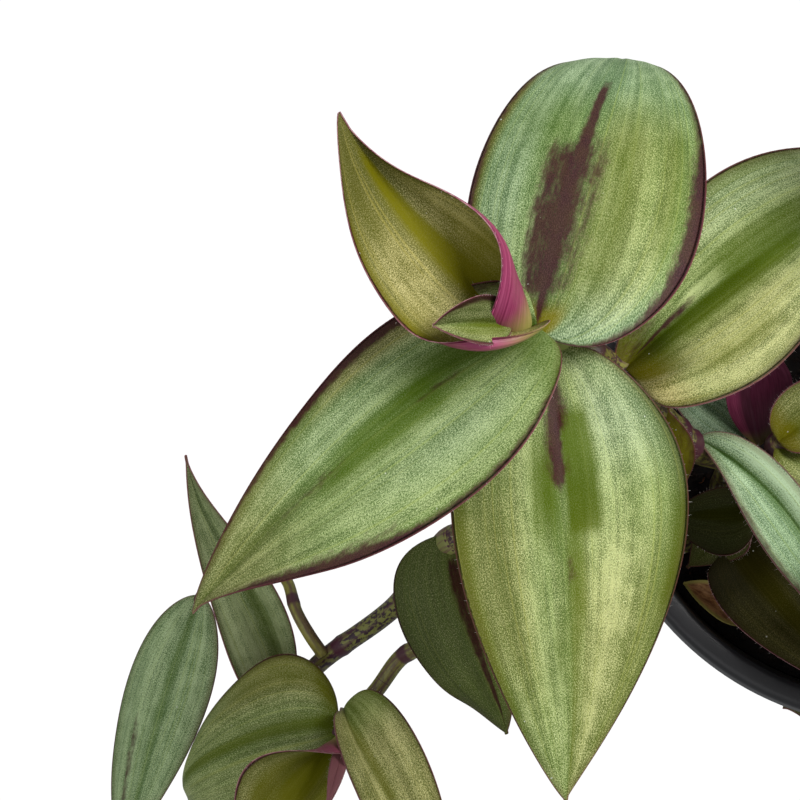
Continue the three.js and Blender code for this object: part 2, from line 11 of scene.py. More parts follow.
import bpy
import numpy as np
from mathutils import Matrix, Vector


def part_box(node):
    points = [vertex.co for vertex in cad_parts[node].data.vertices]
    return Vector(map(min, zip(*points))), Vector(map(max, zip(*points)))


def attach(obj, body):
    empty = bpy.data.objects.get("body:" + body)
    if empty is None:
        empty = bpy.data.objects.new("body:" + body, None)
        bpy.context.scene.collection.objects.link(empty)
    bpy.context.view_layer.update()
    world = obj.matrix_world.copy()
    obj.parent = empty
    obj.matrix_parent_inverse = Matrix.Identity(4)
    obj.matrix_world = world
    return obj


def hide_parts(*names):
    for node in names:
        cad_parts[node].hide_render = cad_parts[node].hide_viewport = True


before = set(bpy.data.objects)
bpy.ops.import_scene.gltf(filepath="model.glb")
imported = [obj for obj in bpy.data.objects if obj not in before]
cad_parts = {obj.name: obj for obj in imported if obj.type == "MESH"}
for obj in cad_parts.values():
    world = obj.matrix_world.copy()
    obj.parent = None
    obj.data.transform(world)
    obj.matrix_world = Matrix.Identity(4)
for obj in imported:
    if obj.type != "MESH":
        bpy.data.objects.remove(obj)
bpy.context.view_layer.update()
MM = 0.001
TURN = 2 * math.pi

# ---- driving dimensions, millimetres ------------------------------------------------------------
POT_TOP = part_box("pot")[1]
POT_HEIGHT = POT_TOP.z / MM
RIM_RADIUS = POT_TOP.x / MM
BASE_RADIUS = 37.5
POT_WALL = 1.6
POT_FLOOR = 2.0
LIP_WIDTH = 4.3
LIP_ROUND = 1.4
MOUTH_ROUND = 1.3
SKIRT = 5.0
LOWER_STEP = 14.0       # height of the wall's lower step
UPPER_STEP = 22.0       # and how far below the rim the upper one is
STEP_DEPTH = 0.35       # how far the wall stands out between them
STEP_SLOPE = 0.6
FOOT_RING = 30.0        # radius inside the foot ring
FOOT_RISE = 0.35        # how far the base is raised in there
DRAINS = 6
DRAIN_RING = 25.0
DRAIN_RADIUS = 3.6
DRAIN_TURN = 0.26       # radians from +X to the first drain hole
DRILL_HEIGHTS = (-3.0, 5.0)
SHARP_ANGLE = 32        # degrees past which the pot's edges stay sharp
SOIL_TOP = 80.0
SOIL_BASE = 2.3
SOIL_BUMP = 1.1
SOIL_CRUMBLE = 0.45
SOIL_GAPS = (0.35, 0.25)         # to the wall, at its base and at its top
CRUMBS_INSET = 1.2      # how far the loose bits keep from the wall
# Loose bits on the soil: their material with its dark and light colours, and its roughness where it
# is smoother, how many to a square metre, their least and greatest width in millimetres, the seed
# of their places and how flat they lie.
LOOSE_BITS = (
    ("peat_crumbs", ("peat_crumb", "#0a0705", "#2b1d13"), 260000.0, 0.6, 2.2, 41, 0.7),
    ("bark_bits", ("bark", "#3a2012", "#8a5a34"), 16000.0, 1.0, 3.4, 43, 0.4),
    ("perlite_grains", ("perlite", "#8d877c", "#d9d4c8", 0.8), 3000.0, 0.7, 1.8, 47, 0.8),
)
STEM_FOOT = 67.0
JOINT_SWELL = 0.28      # how much thicker a stem is at a joint, as a share of its radius
JOINT_REACH = 2.4
RING_SWELL = 0.1        # and at the ring on it
RING_REACH = 0.9
NO_RING = -99.0         # far below the stem
NEVER = 2.0             # past its end
ROOT_HALF = 0.9
TIP_HALF = 0.35
BLADE_THICK = (0.62, 0.2)        # at the midrib and at the margin
GROOVE = (0.16, 0.5)             # depth and reach of the midrib's groove above
KEEL = (0.3, 0.7)                # and of its keel below
SLEEVE = 6.0            # length of the sheath that a leaf's base wraps round its stem
SHORTEST_SHEATH = 1.2
SHEATH_THICK = 0.16
SHEATH_BELOW = 0.6      # how far below its leaf's foot it starts
SHEATH_SPARE = 0.3      # how much of the stem it leaves free at the tip
SHEATH_GAP = (0.12, 0.42)        # to the stem, at its start and at its mouth
SHEATH_BELLY = 0.25
SHEATH_SLANT = 0.32     # how far its mouth slants, as a share of its length
HAIR_LENGTHS = dict(margin=0.55, mouth=1.5, sleeve=1.0)
HAIR_ROOT = 0.018
HAIR_TIP = 0.004

# How finely things are divided: rows along a blade and columns on half of it, for the blades that
# the photograph shows and for the others, and sides or rows of the rest.
FINE_BLADE = (72, 20)
PLAIN_BLADE = (34, 11)
STEM_SIDES = 14
STEM_STEP = 0.9
SHEATH_SIDES = 18
SHEATH_ROWS = 9
CURVE_STEPS = 400
MARGIN_HAIRS = 24
POT_SIDES = 160
DRAIN_SIDES = 28
SOIL_RINGS = 46
SOIL_SIDES = 120

# The camera looks down at 79 degrees from the horizon, from straight in front of the crown.
CAMERA_AT = (-85.5, -80.36, 533.73)
CAMERA_TILT = 11.0
CAMERA_FOV = 17.79

# Soft boxes: place in metres, size in metres and power in watts. They point at the plant's middle.
LIGHTS = (
    ("key_softbox", (0.5, 0.3, 0.85), 0.5, 10.0),
    ("fill_softbox", (-0.5, -0.35, 0.9), 0.9, 2.5),
)
LIGHTS_AIM = (-0.06, 0.0, 0.1)
WORLD_TINT = (0.96, 0.98, 1.0, 1)
WORLD_LIGHT = 0.35
PAPER_GLOW = 1.05       # just past white, so that the paper shows no shade
FLOOR_HALF = 15.0       # metres, so far that the paper fills the frame behind the plant in low views
FLOOR_DROP = 0.0002     # metres


# ---- vectors and curves -------------------------------------------------------------------------
def unit(a):
    return a / np.linalg.norm(a, axis=-1, keepdims=True)


def mix(a, b, t):
    return a + (b - a) * t


def smooth(low, high, x):
    """0 below low, 1 above high, and an S between them."""
    t = np.clip((x - low) / (high - low), 0.0, 1.0)
    return t * t * (3 - 2 * t)


def random_row(seed):
    """Numbers from 0 to 1, the same row of them for the same seed."""
    state = seed
    while True:
        state = state * 16807 % 2147483647
        yield state / 2147483647


def on_curve(path, t):
    """Points at shares t of the smooth curve that goes through each point of path."""
    p = np.asarray(path, float)
    last = len(p) - 1
    place = last * np.atleast_1d(np.asarray(t, float))
    i = np.minimum(np.floor(place).astype(int), last - 1)
    w = (place - i)[:, None]
    ends = np.vstack([2 * p[0] - p[1], p, 2 * p[-1] - p[-2]])
    p0, p1, p2, p3 = ends[i], ends[i + 1], ends[i + 2], ends[i + 3]
    v0, v1 = (p2 - p0) * 0.5, (p3 - p1) * 0.5
    return (2 * p1 - 2 * p2 + v0 + v1) * w**3 + (-3 * p1 + 3 * p2 - 2 * v0 - v1) * w**2 + v0 * w + p1


def nearest(path, point, steps=240):
    """The share of the curve that lies closest to point."""
    away = np.linalg.norm(on_curve(path, np.arange(steps + 1) / steps) - np.asarray(point, float), axis=1)
    best, least = 0, math.inf
    for i, d in enumerate(away):
        if d < least - 1e-9:
            best, least = i, d
    return best / steps


def length_along(path, t):
    """Millimetres along a curve at shares t of it."""
    fine = np.linspace(0, 1, CURVE_STEPS)
    steps = np.linalg.norm(np.diff(on_curve(path, fine), axis=0), axis=1)
    return np.interp(t, fine, np.concatenate([[0], np.cumsum(steps)]))


# ---- leaf form ----------------------------------------------------------------------------------
# half: width of the left and right half. shape: the two powers of the outline. along, rise and
# sway: where the midrib's two handles are along the blade, above it and beside it, as shares of
# its length. fold: how each half is lifted, like a trough, and curl: how it bends, in degrees.
# clasp: what the base adds to both as it closes round the stem, and the power by which that fades.
# point: fold added at the tip, and its power. wave and waves: height and number of the margin's
# waves. face: 1 where the upper face looks up. lobe: how far the base reaches back past the root.
# lean: how far the sides slide along the blade. hem: degrees by which the last quarter of each
# side turns up, and at which share along the blade. half, fold, curl, lobe and hem are for the left
# and the right half, and so is any other number for which a pair is given.
FORM = dict(
    shape=(0.6, 1.15), along=(1 / 3, 2 / 3), rise=(0.1, 0.1), sway=(0, 0), fold=(12, 12), curl=(-10, -10),
    clasp=(25, 0, 4), point=(10, 6), wave=0, waves=3, face=1, lobe=(0, 0), lean=0, hem=(0, 0, 0.3),
)
# How a leaf is painted. silver: its silver sheen, partly the leaf's own silver bands and partly
# painted highlight where the light falls. warm: from green to olive and gold. blue: towards blue green.
# dim: darker, as painted shade where the leaf lies in shade and as a random darker
# tone on grown leaves. rib: strength, start, end, left and right share of the purple down the middle.
# band: strength, left and right share, start and end of the purple along the margins. trough:
# strength, share and end of the plain green down the middle. under: magenta of the underside.
# sheath: length of its sleeve. pleat: height of the pleats between its veins.
# patches: windows that add to one of the kinds of paint, each with its amount, its start and end
# along the blade, its left and right edge across it, and how soft its edges are.
PAINT = dict(
    silver=0.75, warm=0.25, blue=0.2, dim=0.0, rib=(0, 0, 1, 0.1, 0.1), band=(0.5, 0.05, 0.05, 0, 1),
    trough=(0.6, 0.3, 0.7), under=0.7, sheath=0, pleat=0.25, patches={},
)
# The most that silver with painted highlight may reach, past 1 where a patch brightens a lit part of a blade.
MOST_SILVER_AND_HIGHLIGHT = 1.8
HEM_START = 0.74        # share across a half where the hem begins
HEM_REACH = 0.13        # share along the blade over which it fades
LOBE_PEAK = 40          # the base reaches back furthest at a fortieth of the blade's length
WAVE_LAG = 1.7          # the left margin's waves come later than the right one's
FLAT_CURL = 0.001       # the least bend, in radians, that a curl is worked out with


def leaf(root, tip, half, **more):
    """A leaf as its solid has it, where `finer` holds what the photograph shows closer than that."""
    return {**FORM, **PAINT, "finer": {}, "root": root, "tip": tip, "half": half, **more}


def bent(angle):
    return np.where(np.abs(angle) < FLAT_CURL, FLAT_CURL, angle)


def leaf_points(form, u, v):
    """Places, normals and half widths on the blade's middle sheet, at shares u along and v across it."""
    root, tip = np.asarray(form["root"], float), np.asarray(form["tip"], float)
    chord = tip - root
    side = unit(np.cross(unit(chord), (0.0, 0.0, form["face"])))
    up = np.cross(side, unit(chord))
    long = np.linalg.norm(chord)
    P0, P3 = root, tip
    P1, P2 = (
        root + (chord * form["along"][k] + (up * (form["rise"][k] * long) + side * (form["sway"][k] * long)))
        for k in (0, 1)
    )
    s = (1 - u)[..., None]
    t = u[..., None]
    X = (P0 * s**3 + P1 * (3 * s * s * t)) + (P2 * (3 * s * t * t) + P3 * t**3)
    T = unit(((P1 - P0) * (3 * s * s) + (P2 - P1) * (6 * s * t)) + (P3 - P2) * (3 * t * t))
    S = unit(side - T * (T @ side)[..., None])
    N = np.cross(S, T)
    right = v >= 0

    def of(value):
        return np.where(right, value[1], value[0]) if isinstance(value, tuple) else value

    p, q = of(form["shape"][0]), of(form["shape"][1])
    peak = p / (p + q)
    outline = u**p * (1 - u) ** q / (peak**p * (1 - peak) ** q)
    width = np.maximum(of(form["half"]) * outline, mix(ROOT_HALF, TIP_HALF, u))
    near = (1 - u) ** of(form["clasp"][2])
    pointed = form["point"][0] * u ** form["point"][1]
    fold = np.radians(of(form["fold"]) + of(form["clasp"][0]) * near + pointed)
    curl = bent(np.radians(of(form["curl"]) + of(form["clasp"][1]) * near))
    q = np.abs(v)
    inner = np.minimum(q, HEM_START)
    outer = q - inner
    turned_up = np.exp(-(((u - form["hem"][2]) / HEM_REACH) ** 2)) / (1 - HEM_START)
    hem = bent(curl + np.radians(of(form["hem"][:2])) * turned_up)
    bend = fold + curl * inner
    swing = np.sin(u * form["waves"] * TURN + np.where(right, 0, WAVE_LAG))
    wave = form["wave"] * swing * q * q * np.sin(math.pi * u)
    tilt = bend + hem * outer
    x = width * ((np.sin(bend) - np.sin(fold)) / curl + (np.sin(tilt) - np.sin(bend)) / hem)
    z = width * ((np.cos(fold) - np.cos(bend)) / curl + (np.cos(bend) - np.cos(tilt)) / hem) + wave
    sign = np.where(right, 1.0, -1.0)
    normal = N * np.cos(tilt)[..., None] - S * (sign * np.sin(tilt))[..., None]
    normal = unit(mix(N, normal, smooth(0, 0.16, q)[..., None]))
    back = of(form["lobe"]) * q * (LOBE_PEAK * u * np.exp(1 - LOBE_PEAK * u)) ** 0.6
    slide = unit(chord) * (form["lean"] * sign * x * smooth(0.1, 0.6, u))[..., None]
    return X + S * (sign * x)[..., None] + N * z[..., None] - T * back[..., None] + slide, normal, width


def blade_samples(form):
    """The points that say which space a leaf fills, the same ones as in the solids."""
    u, v = np.meshgrid(0.2 + 0.8 * np.arange(15) / 14, np.arange(-3, 4) / 3, indexing="ij")
    return leaf_points(form, u, v)[0].reshape(-1, 3)


# ---- the stems and leaves that the photograph shows, placed one by one --------------------------
def foot(x, y):
    """The three lowest points of a stem that stands in the soil at x, y."""
    return [(x, y, STEM_FOOT), (x, y, 74), (x, y, 81)]


# Stems: radius at both ends. mottle: how far its purple skin covers it. warm: as on the leaves.
# bare: the share of the stem past which the skin is pale and plain. rings: places of rings that
# have no leaf on them.
CROWN = dict(
    node="leafy_stem_crown",
    stems=[
        dict(radius=(2.9, 1.5), mottle=0.9, warm=0.6, bare=0.8,
             path=[*foot(-27.5, -8), (-30.5, -7, 97), (-35.5, -5, 112), (-43.5, 0.5, 128), (-50, 3, 137),
                   (-57.5, 4, 144.5), (-63.5, 4.5, 149.5), (-69.5, 5, 154.5)],
             finer=[*foot(-27.5, -8), (-28.8, -6.3, 98), (-37.4, -6.1, 112), (-44.7, -0.9, 125),
                    (-50.3, 2, 135), (-57, 4, 142), (-62.5, 4.5, 147), (-66.6, 4.5, 150.8)]),
    ],
    leaves=[
        leaf((-62.5, 4.5, 149), (-118, -37, 137), (14.5, 15.5), shape=(0.5, 1.05), rise=(0.1, 0.16),
             sway=(-0.01, 0.02), fold=(10, 14), curl=(-25, -30), clasp=(25, 0, 3),
             finer=dict(root=(-64.4, 5.2, 151), tip=(-117.7, -36.8, 137), half=(19, 12.6),
                        shape=((0.53, 0.24), (1.4, 0.72)), sway=(0.087, 0.016), fold=(24, 32),
                        lobe=(2.2, 0.9), lean=-0.5),
             silver=0.68, warm=0.2, blue=0.22, trough=(0, 0.2, 0.75), band=(0.7, 0.07, 0.12, 0.05, 1),
             patches=dict(purple=[(0.6, 0.18, 0.3, -0.06, 0.0, 0.03), (0.4, 0.5, 0.76, -0.12, 0.03, 0.08),
                                  (0.75, 0.44, 0.85, -1.5, -0.82, 0.12), (0.35, 0.12, 0.6, 0.86, 2, 0.1)],
                          dim=[(0.2, 0.08, 0.65, 0.72, 2, 0.12), (0.25, -1, 0.25, 0.0, 0.5, 0.1)],
                          plain=[(0.85, 0.22, 0.58, -0.24, -0.01, 0.06), (0.9, -1, 0.3, 0.0, 0.42, 0.1),
                                 (0.7, 0.26, 0.5, 0.0, 0.2, 0.06), (0.7, -1, 0.08, -2, 0, 0.04),
                                 (0.5, 0.5, 0.95, 0.7, 2, 0.1)],
                          warm=[(0.6, 0.08, 0.5, 0.72, 2, 0.1), (0.4, 0.7, 2, -2, 2, 0.15)],
                          blue=[(0.5, 0.1, 0.4, -0.7, -0.3, 0.2), (0.4, 0.3, 0.7, 0.2, 0.7, 0.2)])),
        leaf((-61.5, 4.4, 148), (-49, 54, 116), (16.8, 20), shape=(0.34, 0.72), along=(0.35, 1),
             rise=(0.18, 0.34), sway=(-0.04, -0.01), fold=(6, 6), curl=(-12, -10), clasp=(0, 0, 3),
             finer=dict(root=(-64.7, 4.2, 151.3), tip=(-48.7, 55.3, 116), half=(16.7, 21.4),
                        shape=((0.6, 0.49), (1.16, 1.38)), sway=(-0.05, 0.002), fold=(-12, 9), point=(0, 6),
                        lobe=(0, 2), lean=0.05, pleat=0.1),
             silver=0.72, warm=0.1, blue=0.25, trough=(0, 0.5, 0.8), band=(0.6, 0.07, 0.07, 0.1, 0.9),
             patches=dict(purple=[(0.8, 0.07, 0.41, -0.33, 0.02, 0.04), (0.5, 0.07, 0.43, 0.0, 0.23, 0.05),
                                  (0.9, 0.02, 0.6, -0.08, 0.03, 0.035), (0.75, 0.14, 0.44, 0.86, 2, 0.06),
                                  (0.5, -1, 0.14, 0.88, 2, 0.05), (0.3, 0.2, 0.36, -2, -0.95, 0.04)],
                          warm=[(0.8, 0.2, 0.6, -2, -0.9, 0.05), (0.3, 0.06, 0.52, 0.1, 0.8, 0.1),
                                (1.0, -1, 0.06, -0.5, 0.25, 0.03)],
                          plain=[(0.6, 0.06, 0.52, 0.18, 0.5, 0.12), (0.6, 0.2, 0.5, 0.68, 0.86, 0.07),
                                 (0.5, 0.36, 0.55, -0.7, -0.15, 0.1), (1.0, -1, 0.06, -0.5, 0.25, 0.03)],
                          silver=[(-0.4, 0.2, 0.6, -2, -0.88, 0.05), (-0.1, 0.2, 0.7, 0.4, 1.2, 0.12),
                                  (1.2, 0.82, 2, -2, 2, 0.08)],
                          blue=[(-0.2, 0.2, 0.7, 0.3, 1.2, 0.12), (0.6, 0.52, 2, -2, 2, 0.1),
                                (0.5, 0.15, 0.5, -0.9, -0.45, 0.12), (0.6, -1, 0.1, 0.3, 2, 0.08)])),
        leaf((-67, 4.5, 151.5), (-94.5, 32.5, 174), (19.3, 18), shape=(0.5, 1.45), rise=(0, -0.02),
             sway=(-0.05, -0.06), fold=(8, 38), curl=(8, 30), clasp=(48, 40, 2.2), point=(25, 3),
             finer=dict(half=(16.3, 19.2), shape=((0.29, 0.29), (0.56, 1.72)), fold=(21, -11),
                        curl=(15, 97), clasp=((77, 30), (17, 376), (8.4, 4.9)), hem=(163, 0, 0.15)),
             silver=0.45, warm=1.0, blue=0, trough=(0, 0.34, 0.8), band=(0.7, 0.04, 0.04, 0, 1), under=1.0,
             patches=dict(plain=[(1.0, 0.05, 0.85, -0.16, 0.12, 0.05), (0.8, 0.05, 0.45, 0.0, 0.6, 0.15),
                                 (0.5, 0.05, 0.4, -2, -0.6, 0.1), (0.7, 0.1, 0.75, -2, -0.9, 0.05)],
                          silver=[(0.3, 0.1, 0.62, -0.75, -0.3, 0.1), (-0.2, 0.6, 2, -2, 2, 0.15),
                                  (0.35, 0.2, 0.7, 0.2, 0.8, 0.15)],
                          purple=[(0.4, 0.5, 0.9, 0.8, 2, 0.1)],
                          dim=[(0.25, 0.7, 2, -2, 2, 0.15)])),
        leaf((-67.9, 4.8, 153), (-80.5, 4, 159), (5, 5), shape=(0.6, 0.8), fold=(55, 35), curl=(10, 10),
             clasp=(15, 0, 3),
             finer=dict(root=(-69.1, 4, 159), tip=(-80.7, 1.4, 170), half=(3.6, 4.4), rise=(0.06, 0.12),
                        fold=(0, 30)),
             silver=0.7, warm=0.45, blue=0.1, dim=0.1, band=(0.9, 0.15, 0.25, 0, 1), under=0.9,
             patches=dict(dim=[(0.45, -1, 2, 0.0, 2, 0.1)],
                          plain=[(0.6, 0.1, 0.8, -0.6, -0.1, 0.1)])),
        leaf((-55.5, 4, 143), (-60, -65, 134), (17.4, 19.3), shape=(0.62, 1.1), rise=(0.08, 0.1),
             sway=(0.01, 0.03), fold=(8, 8), curl=(-12, -16),
             finer=dict(root=(-62.3, 2.5, 146.5), tip=(-59.9, -65.8, 134), half=(20.9, 17.5),
                        shape=((0.64, 0.45), (1.2, 0.85)), sway=(-0.008, -0.053), fold=(-16, 5),
                        lobe=(1.9, 2), lean=0.07),
             silver=0.7, warm=0.3, blue=0.1, trough=(0, 0.42, 0.62), band=(0.15, 0.04, 0.04, 0.1, 0.9),
             patches=dict(purple=[(1.0, 0.02, 0.3, -0.03, 0.06, 0.04), (0.6, 0.05, 0.17, -0.12, 0.0, 0.04),
                                  (0.55, 0.12, 0.28, 0.0, 0.16, 0.05),
                                  (0.45, 0.45, 0.52, -0.05, 0.03, 0.03)],
                          plain=[(1.0, 0.13, 0.405, -0.27, -0.02, 0.02), (1.0, 0.2, 0.4, 0.05, 0.28, 0.07),
                                 (0.8, 0.4, 0.6, -0.13, 0.02, 0.05), (0.6, 0.6, 0.95, -0.06, 0.03, 0.03),
                                 (0.5, 0.6, 0.72, 0.1, 0.2, 0.04), (0.7, 0.33, 0.6, -2, -0.85, 0.06),
                                 (0.6, 0.3, 0.85, 0.86, 2, 0.06)],
                          dim=[(0.3, 0.08, 0.62, -2, -0.88, 0.08), (0.2, 0.25, 0.4, -0.27, -0.02, 0.05)],
                          silver=[(-0.3, 0.08, 0.6, -2, -0.7, 0.1), (-0.3, 0.2, 0.75, 0.5, 2, 0.12),
                                  (-0.25, 0.5, 0.9, -1.0, -0.6, 0.12), (0.3, 0.42, 0.6, -0.62, -0.16, 0.08),
                                  (0.15, 0.6, 0.95, -0.6, 0.5, 0.15), (0.25, 0.1, 0.32, -0.8, -0.3, 0.1)],
                          warm=[(0.35, 0.28, 0.75, 0.4, 2, 0.15), (0.3, 0.45, 2, -2, 0, 0.2)],
                          blue=[(0.7, 0.05, 0.25, -0.9, -0.3, 0.1)])),
        leaf((-50, 3, 137), (-0.5, 44, 126), (16.5, 18.5), shape=(0.45, 1.15), rise=(0.11, 0.14),
             sway=(0.01, 0.02), fold=(14, 14), curl=(-22, -22),
             finer=dict(root=(-49.9, 1.9, 137), tip=(0, 44.1, 126), half=(14.7, 18),
                        shape=((1.05, 0.3), (1.77, 1.17)), sway=(-0.034, 0.047), fold=(27, 25), lobe=(3, 2),
                        lean=-0.21),
             warm=0.3, blue=0.15, trough=(0, 0.3, 0.85), band=(0.5, 0.04, 0.05, 0, 0.9),
             patches=dict(plain=[(1.0, 0.03, 0.55, 0.0, 0.24, 0.05), (0.85, 0.28, 0.9, -0.34, 0.0, 0.07),
                                 (0.5, 0.12, 0.35, 0.55, 0.7, 0.05), (0.6, 0.3, 0.6, -2, -0.85, 0.06),
                                 (1.0, -1, 0.1, -2, 0.5, 0.05)],
                          dim=[(0.3, 0.03, 0.4, 0.0, 0.2, 0.06), (0.4, -1, 0.12, -0.4, 0.6, 0.06),
                               (0.2, 0.25, 0.8, 0.88, 2, 0.06)],
                          purple=[(0.8, 0.04, 0.22, -0.14, 0.0, 0.04), (0.5, 0.02, 0.16, -0.8, -0.2, 0.1)],
                          silver=[(0.6, 0.2, 0.32, -0.2, -0.02, 0.04), (0.12, 0.06, 0.6, 0.3, 0.85, 0.1),
                                  (0.4, 0.6, 2, -2, 2, 0.12)],
                          warm=[(0.35, 0.0, 0.5, 0.25, 2, 0.15), (0.6, -1, 0.06, -2, 2, 0.05)],
                          blue=[(0.4, 0.3, 0.8, -1, -0.45, 0.15)])),
        leaf((-38, -3, 116.5), (-44, -29.5, 104), (6, 9), shape=(0.4, 1), rise=(0.12, 0.12), fold=(-20, 0),
             finer=dict(root=(-42.4, -1.5, 124), tip=(-40.3, -17.5, 107), half=(4.6, 6), shape=(1.2, 1.9),
                        fold=(0, 0)),
             silver=0.1, warm=1.0, blue=0, dim=0.1, trough=(0.9, 1.5, 1.2), band=(0.3, 0.1, 0.1, 0, 1),
             patches=dict(dim=[(0.4, 0.45, 2, -2, 2, 0.15)],
                          purple=[(0.3, -1, 0.5, -2, 2, 0.1)])),
        leaf((-35.5, -5, 112), (-6.5, -47.5, 100), (10.5, 11), shape=(0.62, 1), rise=(0.16, 0.1),
             sway=(-0.13, -0.07), fold=(48, 40), curl=(-45, -35), clasp=(15, 0, 3),
             finer=dict(root=(-35.6, -5.2, 112.2), tip=(-5, -45.3, 100), half=(4.9, 7.6),
                        shape=((0.42, 1.3), (1.42, 1.87)), sway=(-0.141, -0.041), fold=(35, 30),
                        curl=(-30, -25), clasp=(0, 0, 3), lobe=(-0.4, 1), lean=-0.14),
             silver=1.0, warm=0.05, blue=0.9, trough=(0.5, 0.16, 0.95), band=(0.45, 0.05, 0.2, 0.15, 1),
             patches=dict(plain=[(0.4, 0.05, 0.9, -0.3, 0.0, 0.1)],
                          silver=[(-0.3, -1, 0.12, -2, 2, 0.06), (0.6, 0.05, 0.35, -2, -0.3, 0.1),
                                  (-0.3, 0.2, 2, 0.1, 2, 0.1)])),
    ],
)
